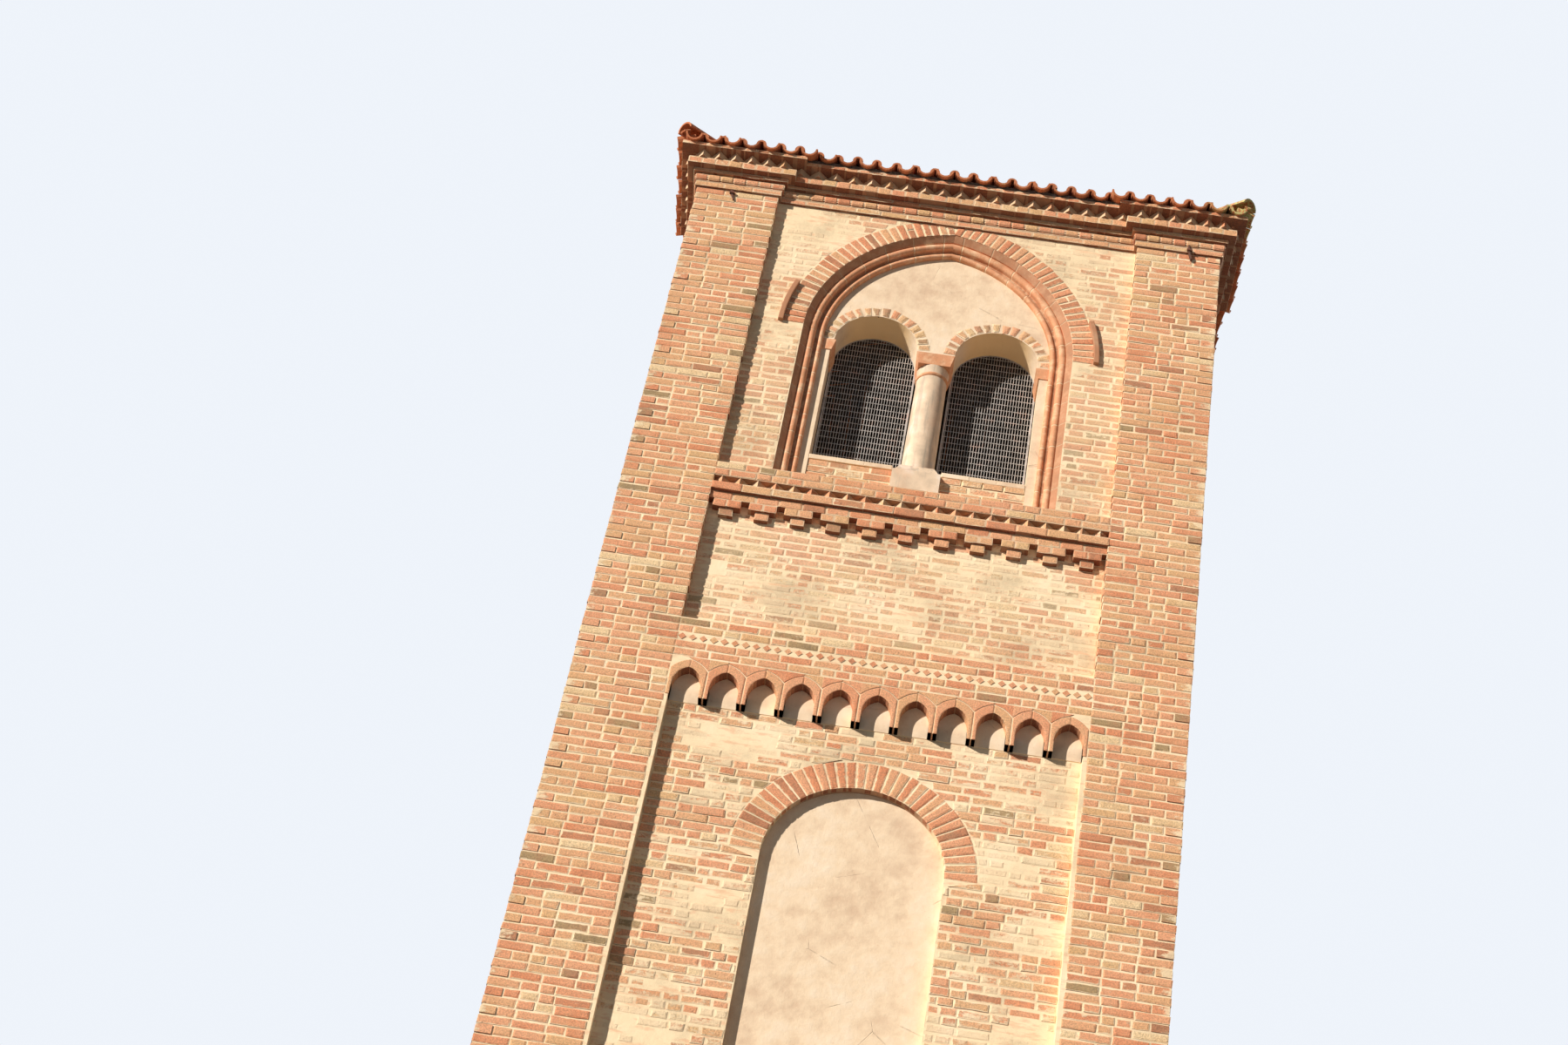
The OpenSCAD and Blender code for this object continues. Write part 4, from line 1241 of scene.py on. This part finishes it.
class TOWER_OT_lay_string(bpy.types.Operator):
    """Lays the string course: corbels, flat course, thin course, teeth and the two courses of the ledge"""
    bl_idname = "tower.lay_string"
    bl_label = "String course"

    def execute(self, context):
        bricks, _ = scene_sizes()
        sizes = context.scene.tower_band
        blocks = Blocks(bricks.seed + 60)
        j, c = bricks.joint / 2, bricks.course
        edge = bricks.edge
        flat, back = PANEL_OUT + sizes.corbel_top_out, PANEL_OUT - 0.01
        vary = blocks.draw.uniform
        for side in range(4):
            for middle in spaced(sizes.arches, sizes.pitch):
                front = PANEL_OUT + sizes.corbel_out + 0.004 + vary(-0.004, 0.004)
                blocks.brick(side, middle - CORBEL_HALF, middle + CORBEL_HALF, STRING_Z - 0.002,
                             STRING_Z + c - j, back, front, edge, vary(-0.3, 0.2), vary(0.2, 0.8))
                for a, b in ((-CORBEL_TOP_HALF, -j), (j, CORBEL_TOP_HALF)):
                    blocks.brick(side, middle + a, middle + b, STRING_Z + c - 0.002, STRING_Z + 2 * c - j,
                                 back, flat + 0.004 + vary(-0.004, 0.004), edge, vary(-0.3, 0.2),
                                 vary(0.2, 0.8))
            brick_run(blocks, side, -PANEL_EDGE, PANEL_EDGE, STRING_Z + 2 * c - 0.003, STRING_Z + 3 * c - j,
                      back, flat + 0.005, bricks.stretcher * 0.8, bricks.joint, edge)
            brick_run(blocks, side, -PANEL_EDGE, PANEL_EDGE, STRING_Z + 3 * c - 0.003, STRING_Z + 4 * c - j,
                      PANEL_OUT, PANEL_OUT + sizes.thin_out + 0.006, bricks.stretcher,
                      bricks.joint * 0.7, edge)
            lay_teeth(blocks, side, -PANEL_EDGE, PANEL_EDGE, sizes.teeth, -TOOTH_DEEP,
                      STRING_Z + 4 * c + 0.001, STRING_Z + 5 * c - j, 0.004, (-0.004, 0.003), 0.002,
                      (-0.3, 0.2), (0.2, 0.8))
            lay_panel(blocks, side, PANEL_EDGE, STRING_Z + 5 * c, Z_LEDGE, 0.0, bricks.proud, bricks)
        blocks.build("string_course_bricks", "pier_brickwork", "cornice_brick")
        return {"FINISHED"}


def nose(out, bulge, low, high):
    """Section (out, height) of a brick with a round nose."""
    points = [(out - 0.10, low), (out - bulge, low)]
    for k in range(1, 6):
        turn = math.pi * k / 6
        height = (low + high) / 2 - (high - low) / 2 * math.cos(turn)
        points.append((out - bulge + bulge * math.sin(turn) ** 0.8, height))
    return points + [(out - bulge, high), (out - 0.10, high)]


def cornice_runs(out):
    """(left, right, out) of the stretches of a cornice course: over a pier, the panel and a pier."""
    step = PANEL_EDGE - out
    return ((-HALF - out, -step, out), (-step, step, out + BELFRY_OUT), (step, HALF + out, out))


class TOWER_OT_lay_cornice(bpy.types.Operator):
    """Lays the cornice: lower, rounded, thin and thick courses, teeth and the flat course under the tiles"""
    bl_idname = "tower.lay_cornice"
    bl_label = "Cornice"

    def execute(self, context):
        bricks, _ = scene_sizes()
        sizes = context.scene.tower_cornice
        blocks = Blocks(bricks.seed + 70)
        vary = blocks.draw.uniform
        levels = {n: tuple(corner.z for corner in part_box(n)) for n in (
            "cornice_lower_course", "cornice_round_course", "cornice_thin_course", "cornice_thick_course",
            "cornice_sawtooth", "eaves_course")}
        # Node, how far it stands out, width of its bricks, their depth, its joints over the usual ones, tones
        plain = (("cornice_lower_course", sizes.lower, 0.25, 0.09, 0.8, (0.38, 0.88)),
                 ("cornice_thin_course", sizes.thin, 0.25, 0.08, 0.8, (0.38, 0.86)),
                 ("cornice_thick_course", sizes.thick, 0.135, 0.12, 0.8, (0.38, 0.88)),
                 ("eaves_course", sizes.eaves, 0.125, 0.16, 1.5, (0.22, 0.66)))
        valley = sizes.saw - TOOTH_DEEP
        meet = PANEL_EDGE - valley
        saws = ((-HALF - valley, -meet, 6, valley), (-meet, meet, 19, valley + BELFRY_OUT),
                (meet, HALF + valley, 6, valley))
        for side in range(4):
            for node, out, pitch, deep, wide, tones in plain:
                low, high = levels[node]
                for left, right, face in cornice_runs(out):
                    brick_run(blocks, side, left, right, low - 0.001, high - 0.006, face - deep,
                              face + 0.004, pitch, bricks.joint * wide, bricks.edge * 0.9, tones=tones)
            low, high = levels["cornice_round_course"]
            for left, right, face in cornice_runs(sizes.round):
                for a, b in equal_parts(left, right, ROUND_PITCH):
                    section = nose(face + 0.006 + vary(-0.004, 0.004), ROUND_NOSE,
                                   low + 0.004 + vary(0, 0.004), high - 0.004 - vary(0, 0.006))
                    blocks.add(side, "along", section, a + 0.004, b - 0.004, 0.010, vary(-0.3, 0.1),
                               vary(0.3, 0.8))
            low, high = levels["cornice_sawtooth"]
            for saw in saws:
                lay_teeth(blocks, side, *saw, low + 0.001, high - 0.004, 0.005, (-0.006, 0.002), 0.001,
                          (-0.3, 0.1), (0.35, 0.8))
        blocks.build("cornice_bricks", "cornice_brickwork", "cornice_brick")
        return {"FINISHED"}


class TOWER_OT_fix_tie_ends(bpy.types.Operator):
    """Sets the iron ends of the two tie rods, each with its wedge, under the cornice"""
    bl_idname = "tower.fix_tie_ends"
    bl_label = "Tie ends"

    def execute(self, context):
        bricks, _ = scene_sizes()
        irons = Blocks(bricks.seed + 98)
        for low, high, out in TIE_ENDS:
            along = Vector((high[0] - low[0], high[1] - low[1])).normalized()
            across = Vector((-along.y, along.x)) * TIE_HALF
            foot, head = Vector(low), Vector(high)
            bend = foot.lerp(head, 0.45) + across * 0.7
            outline = [foot - across * 0.7, bend - across, head - across * 0.8, head + across * 0.8,
                       bend + across, foot + across * 0.7]
            irons.face(0, outline, out - 0.02, out + TIE_THICK, 0.004, 0.0, 0.5)
            wedge = [bend - across * 2.6 - along * 0.010, bend + across * 2.2 + along * 0.004,
                     bend + across * 2.2 + along * 0.022, bend - across * 2.6 + along * 0.018]
            irons.face(0, wedge, out, out + TIE_THICK + 0.014, 0.003, 0.0, 0.5)
        irons.build("tie_ends", "rusty_iron", "wire")
        return {"FINISHED"}


# Roof

class Tiles:
    """Curved tiles joined into one mesh."""

    SEGMENTS = 8

    def __init__(self, seed):
        self.draw = random.Random(seed)
        self.points, self.faces, self.tones = [], [], []

    def add(self, start, along, across, normal, long, r0, r1, thick, spread, hollow):
        """A tile from start along a direction; hollow up is a channel, otherwise it is a cover."""
        n = self.SEGMENTS
        base = len(self.points)
        sign = -1 if hollow else 1
        for reach, radius in ((0.0, r0), (long, r1)):
            for r in (radius, radius - thick):
                for k in range(n + 1):
                    a = spread * (2 * k / n - 1)
                    rise = sign * (r * math.cos(a) - radius)
                    self.points.append(start + along * reach + across * (r * math.sin(a)) + normal * rise)
        m = n + 1
        o0, i0, o1, i1 = base, base + m, base + 2 * m, base + 3 * m
        faces = []
        for k in range(n):
            faces.append((o0 + k, o0 + k + 1, o1 + k + 1, o1 + k))
            faces.append((i0 + k + 1, i0 + k, i1 + k, i1 + k + 1))
            faces.append((i0 + k, i0 + k + 1, o0 + k + 1, o0 + k))
            faces.append((o1 + k, o1 + k + 1, i1 + k + 1, i1 + k))
        faces.append((i0, o0, o1, i1))
        faces.append((o0 + n, i0 + n, i1 + n, o1 + n))
        if not hollow:
            faces = [f[::-1] for f in faces]
        self.faces += faces
        tone = self.draw.random()
        self.tones += [tone] * len(faces)

    def build(self, name, replaces):
        points = [tuple(p) for p in self.points]
        join_mesh(name, points, self.faces, "fired_tile", {"tone": self.tones},
                  replaces=replaces)


class TOWER_OT_tile_roof(bpy.types.Operator):
    """Lays the roof deck, channel tiles, cover tiles and hip caps"""
    bl_idname = "tower.tile_roof"
    bl_label = "Roof tiles"

    def execute(self, context):
        bricks, _ = scene_sizes()
        sizes = context.scene.tower_roof
        eaves = context.scene.tower_cornice.eaves
        z_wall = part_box("eaves_course")[1].z
        edge = CAD_BOX[1][0]

        def under(distance):
            """Height of the roof's underside at a distance from the middle."""
            return z_wall + sizes.rise * (HALF + eaves - distance)

        rim = edge - DECK_IN
        section = [(rim, under(rim)), (rim, under(rim) + DECK_THICK), (0.003, under(0.0) + DECK_THICK),
                   (0.003, under(0.0)), (INNER_HALF, under(INNER_HALF)), (INNER_HALF, z_wall + 0.001),
                   (rim, z_wall + 0.001)]
        points = [(a * d, b * d, z) for d, z in section for a, b in ((-1, -1), (1, -1), (1, 1), (-1, 1))]
        faces = skin(len(section), 4, closed=True)
        join_mesh("roof_deck", points, faces, "aged_boards")

        slope = math.atan(sizes.rise)
        covers, channels = Tiles(bricks.seed + 80), Tiles(bricks.seed + 81)
        columns = int(2 * edge / sizes.pitch)
        for side in range(4):
            turn = Matrix.Rotation(math.radians(90 * side), 3, "Z")
            along = turn @ Vector((0, math.cos(slope), math.sin(slope)))
            across = turn @ Vector((1, 0, 0))
            normal = turn @ Vector((0, -math.sin(slope), math.cos(slope)))
            for half_step in range(2 * columns + 1):
                u = (half_step / 2 - columns / 2) * sizes.pitch
                if abs(u) > edge - 0.08:
                    continue
                hollow = half_step % 2 == 1
                tiles = channels if hollow else covers
                vary = tiles.draw.uniform
                radius = sizes.channel_radius if hollow else sizes.cover_radius
                spread = CHANNEL_TURN if hollow else COVER_TURN
                lift = CHANNEL_LIFT if hollow else sizes.cover_top
                eave = edge - sizes.inset - (sizes.step if abs(u) < PANEL_EDGE - 0.24 else 0.0)
                eave -= 0.0 if hollow else sizes.cover_back
                count = max(1, int(math.ceil((eave - abs(u)) / (sizes.gauge * math.cos(slope)))))
                lean = vary(-0.008, 0.008)
                for n in range(count):
                    shift = vary(-0.015, 0.015) if n else vary(0.0, 0.022)
                    reach = eave - n * sizes.gauge * math.cos(slope) - shift
                    long = min(sizes.long, max(0.06, (reach - abs(u)) / math.cos(slope) + 0.03))
                    base = turn @ Vector((u + lean * n + vary(-0.005, 0.005), -reach, under(reach)))
                    start = base + normal * (lift + (LAP_LIFT if n else 0.0) + vary(-0.003, 0.003))
                    way = (along + across * vary(-0.014, 0.014)).normalized()
                    wide = radius + vary(-0.003, 0.002)
                    ends = (wide * 0.93, wide) if hollow else (wide, wide * 0.90)
                    tiles.add(start, way, across, normal, long, *ends, sizes.thick, spread, hollow)
        channels.build("channel_tiles", ROOFS)
        covers.build("cover_tiles", ROOFS)

        caps = Tiles(bricks.seed + 82)
        vary = caps.draw.uniform
        hip = math.atan(sizes.rise / math.sqrt(2))
        for corner in range(4):
            turn = Matrix.Rotation(math.radians(90 * corner + 45), 3, "Z")
            along = turn @ Vector((math.cos(hip), 0, math.sin(hip)))
            across = turn @ Vector((0, -1, 0))
            normal = turn @ Vector((-math.sin(hip), 0, math.cos(hip)))
            total = edge * math.sqrt(2)
            count = int(total / (sizes.gauge * math.cos(hip)))
            for n in range(count):
                d = total - CAP_FOOT - n * (total - 0.16) / count
                start = turn @ Vector((-d, 0, under(d / math.sqrt(2)) + CAP_LIFT + sizes.hip_radius))
                way = (along + across * vary(-0.02, 0.02)).normalized()
                caps.add(start, way, across, normal, sizes.long, sizes.hip_radius, sizes.hip_radius * 0.88,
                         sizes.thick, CAP_TURN, False)
        caps.build("hip_cap_tiles", ("hip_caps",))
        return {"FINISHED"}


# Window fittings

class TOWER_OT_stretch_mesh(bpy.types.Operator):
    """Stretches the wire mesh behind each light, with its frame"""
    bl_idname = "tower.stretch_mesh"
    bl_label = "Wire mesh"

    def execute(self, context):
        bricks, window = scene_sizes()
        blocks = Blocks(bricks.seed + 90)
        half, w = window.light_half, window.wire / 2
        springing = window.light_springing
        foot = SILL_Z - 0.012
        turns = np.linspace(0, math.pi, 25)

        def wire(outline, depths, edge=0.0008):
            blocks.face(side, outline, *(-window.screen_back - deep for deep in depths), edge)

        for side in range(4):
            for hand in (-1, 1):
                middle = hand * window.light_middle
                for k in range(int(2 * half / window.upright_pitch) + 1):
                    at = -half + (k + 0.5) * window.upright_pitch
                    if abs(at) > half - 0.003:
                        continue
                    top = springing + math.sqrt(half * half - at * at) + 0.006
                    wire(rectangle(middle + at - w, middle + at + w, foot, top), UPRIGHT_IN)
                level = foot + 0.03
                while level < springing + half - 0.02:
                    rise = max(0.0, level - springing)
                    reach = math.sqrt(half * half - rise * rise) + 0.006
                    wire(rectangle(middle - reach, middle + reach, level - w, level + w), LEVEL_IN)
                    level += window.level_pitch
                rim = arc(middle, springing, half + RIM_OUT, turns)
                rim += arc(middle, springing, half - RIM_LAP, turns[::-1])
                wire(rim, RIM_IN, 0.001)
                for a, b in ((-half - RIM_OUT, -half + RIM_LAP), (half - RIM_LAP, half + RIM_OUT)):
                    wire(rectangle(middle + a, middle + b, foot, springing), RIM_IN, 0.001)
                wire(rectangle(middle - half, middle + half, foot, foot + RIM_OUT + RIM_LAP), RIM_IN, 0.001)
        blocks.build("wire_mesh", "galvanised_wire", "wire")
        return {"FINISHED"}


class TOWER_OT_dress_sills(bpy.types.Operator):
    """Lays the rough bricks of the sills with their mortar caps"""
    bl_idname = "tower.dress_sills"
    bl_label = "Sills"

    def execute(self, context):
        bricks, window = scene_sizes()
        blocks, caps = Blocks(bricks.seed + 95), Blocks(bricks.seed + 96)
        face = -window.screen - 0.015
        vary = caps.draw.uniform
        for side in range(4):
            for hand in (-1, 1):
                ends = sorted((hand * (window.plinth + 0.004), hand * (window.jamb_edge - 0.004)))
                for k in range(5):
                    low = Z_LEDGE + k * bricks.course
                    high = low + bricks.course - bricks.joint
                    if high > SILL_Z - 0.03:
                        break
                    front = face + blocks.draw.uniform(0.004, 0.010)
                    brick_run(blocks, side, *ends, low, high, face - BRICK_IN, front, 0.21 + 0.05 * (k % 2),
                              bricks.joint * 1.3, 0.007, 0.15)
                for k in range(3):
                    a, b = (ends[0] + (ends[1] - ends[0]) * n / 3 for n in (k, k + 1))
                    low, top = SILL_Z - 0.048, SILL_Z + 0.004
                    outline = [(a, low + vary(0, 0.006)), (b, low + vary(0, 0.006)), (b, top), (a, top)]
                    caps.face(side, outline, face - 0.25, face + 0.012 + vary(0, 0.004), 0.006)
        blocks.build("sill_bricks", "rough_brickwork", "panel_brick")
        caps.build("sill_caps", "lime_plaster", "plaster")
        return {"FINISHED"}


class TOWER_OT_finish_frame(bpy.types.Operator):
    """Gives every part of the frame its finish"""
    bl_idname = "tower.finish_frame"
    bl_label = "Frame finishes"

    def execute(self, context):
        kinds = {
            "lime_plaster": ("blind_window_infills", "tympana", "window_jambs"),
            "moulded_terracotta": ("window_surrounds", "hood_stubs", "jamb_imposts", "column_rings",
                                   "column_capitals"),
            "column_stone": ("window_columns", "column_bases"),
            "aged_boards": ("belfry_floor",),
            "fired_tile": (*ROOFS, "hip_caps"),
        }
        chosen = {node: finish for finish, nodes in kinds.items() for node in nodes}
        for node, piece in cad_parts.items():
            # The cornice, eaves and string courses get the darker mortar, partly soot and partly painted
            # shade in their joints and hollows
            gets_soot_and_shade = node.startswith("cornice") or node in ("eaves_course", "string_courses")
            finish = finishes()[chosen.get(node, "sooty_mortar" if gets_soot_and_shade else "lime_mortar")]
            piece.data.materials.clear()
            piece.data.materials.append(finish)
        return {"FINISHED"}


# Name, strength, angle across in degrees, colour, tilt from straight down and turn in degrees
LAMPS = (("key", 5.3, 1.4, (1.0, 0.945, 0.87), 70, -52), ("rear", 2.6, 12.0, (1.0, 0.97, 0.93), 58, 155))
FILL_COLOUR, FILL_STRENGTH = (0.86, 0.94, 1.08), 0.15
FLOOR_RADIUS = 90.0
FLOOR_BOUNCE = 0.24  # share of the floor's colour in the light that it throws back


class TOWER_OT_set_stage(bpy.types.Operator):
    """Sets the camera, the lights, the floor and the pale background"""
    bl_idname = "tower.set_stage"
    bl_label = "Stage"

    def execute(self, context):
        scene = context.scene
        sizes = scene.tower_stage
        pitch, roll, yaw = sizes.pitch, sizes.roll, sizes.yaw
        ahead = Vector((math.sin(yaw) * math.cos(pitch), math.cos(yaw) * math.cos(pitch), math.sin(pitch)))
        level = Vector((math.cos(yaw), -math.sin(yaw), 0))
        rise = level.cross(ahead)
        right = level * math.cos(roll) + rise * math.sin(roll)
        up = rise * math.cos(roll) - level * math.sin(roll)
        camera = bpy.data.objects.new("camera", bpy.data.cameras.new("camera"))
        camera.data.lens = sizes.lens
        camera.data.clip_end = 400.0
        turn = Matrix((right, up, -ahead)).transposed().to_4x4()
        camera.matrix_world = Matrix.Translation(sizes.eye) @ turn
        scene.collection.objects.link(camera)
        scene.camera = camera

        for name, energy, spread, colour, tilt, heading in LAMPS:
            light = bpy.data.lights.new(name, "SUN")
            light.energy, light.angle, light.color = energy, math.radians(spread), colour
            lamp = bpy.data.objects.new(name, light)
            lamp.rotation_euler = (math.radians(tilt), 0, math.radians(heading))
            scene.collection.objects.link(lamp)

        mesh = bpy.data.meshes.new("floor")
        turns = np.linspace(0, 2 * math.pi, 64, endpoint=False)
        ring = [(x, y, 0.0) for x, y in arc(0.0, 0.0, FLOOR_RADIUS, turns)]
        mesh.from_pydata(ring, [], [tuple(range(len(ring)))])
        floor = bpy.data.objects.new("floor", mesh)
        scene.collection.objects.link(floor)
        paint = Paint("pale_floor", 0.95)
        tone = paint.stops(paint.noise(3, 3), ((0.3, darker(sizes.floor, 0.97)), (0.7, tuple(sizes.floor))))
        mesh.materials.append(paint.finish(paint.mix(paint.seen(), darker(sizes.floor, FLOOR_BOUNCE), tone)))

        world = bpy.data.worlds.new("studio")
        sky = Sky(world)
        fill = sky.node("ShaderNodeBackground", {}, {0: FILL_COLOUR, 1: FILL_STRENGTH}).outputs[0]
        view = sky.node("ShaderNodeBackground", {}, {0: tuple(sizes.sky), 1: 1.0}).outputs[0]
        pick = sky.node("ShaderNodeMixShader", {}, {0: sky.seen(), 1: fill, 2: view})
        sky.node("ShaderNodeOutputWorld", {}, {0: pick.outputs[0]})
        scene.world = world
        scene.view_settings.view_transform = "Standard"
        return {"FINISHED"}


class TOWER_PT_panel(bpy.types.Panel):
    """Lists the steps that dress the tower, and the sizes that they use"""
    bl_idname = "TOWER_PT_panel"
    bl_label = "Bell Tower"
    bl_space_type = "VIEW_3D"
    bl_region_type = "UI"
    bl_category = "Bell Tower"

    def draw(self, context):
        for step in STEPS:
            self.layout.operator(step.bl_idname)
        for name, group in GROUPS.items():
            box = self.layout.box()
            box.label(text=name.replace("tower_", "").title())
            for key in group.__annotations__:
                box.prop(getattr(context.scene, name), key)


GROUPS = {
    "tower_bricks": BrickSizes, "tower_window": WindowSizes, "tower_band": BandSizes,
    "tower_cornice": CorniceSizes, "tower_roof": RoofSizes, "tower_tints": Tints, "tower_stage": StageSizes,
}
STEPS = (
    TOWER_OT_lay_piers, TOWER_OT_lay_panels, TOWER_OT_lay_arches, TOWER_OT_mould_windows,
    TOWER_OT_set_arcade, TOWER_OT_lay_string, TOWER_OT_lay_cornice, TOWER_OT_fix_tie_ends,
    TOWER_OT_tile_roof, TOWER_OT_stretch_mesh, TOWER_OT_dress_sills, TOWER_OT_finish_frame,
    TOWER_OT_set_stage,
)


def register():
    for group in (*GROUPS.values(), *STEPS, TOWER_PT_panel):
        bpy.utils.register_class(group)
    for name, group in GROUPS.items():
        setattr(bpy.types.Scene, name, PointerProperty(type=group))


def unregister():
    for name in GROUPS:
        delattr(bpy.types.Scene, name)
    for group in (TOWER_PT_panel, *reversed(STEPS), *reversed(tuple(GROUPS.values()))):
        bpy.utils.unregister_class(group)


def main():
    register()
    for step in STEPS:
        family, name = step.bl_idname.split(".")
        getattr(getattr(bpy.ops, family), name)()


if __name__ == "__main__":
    main()
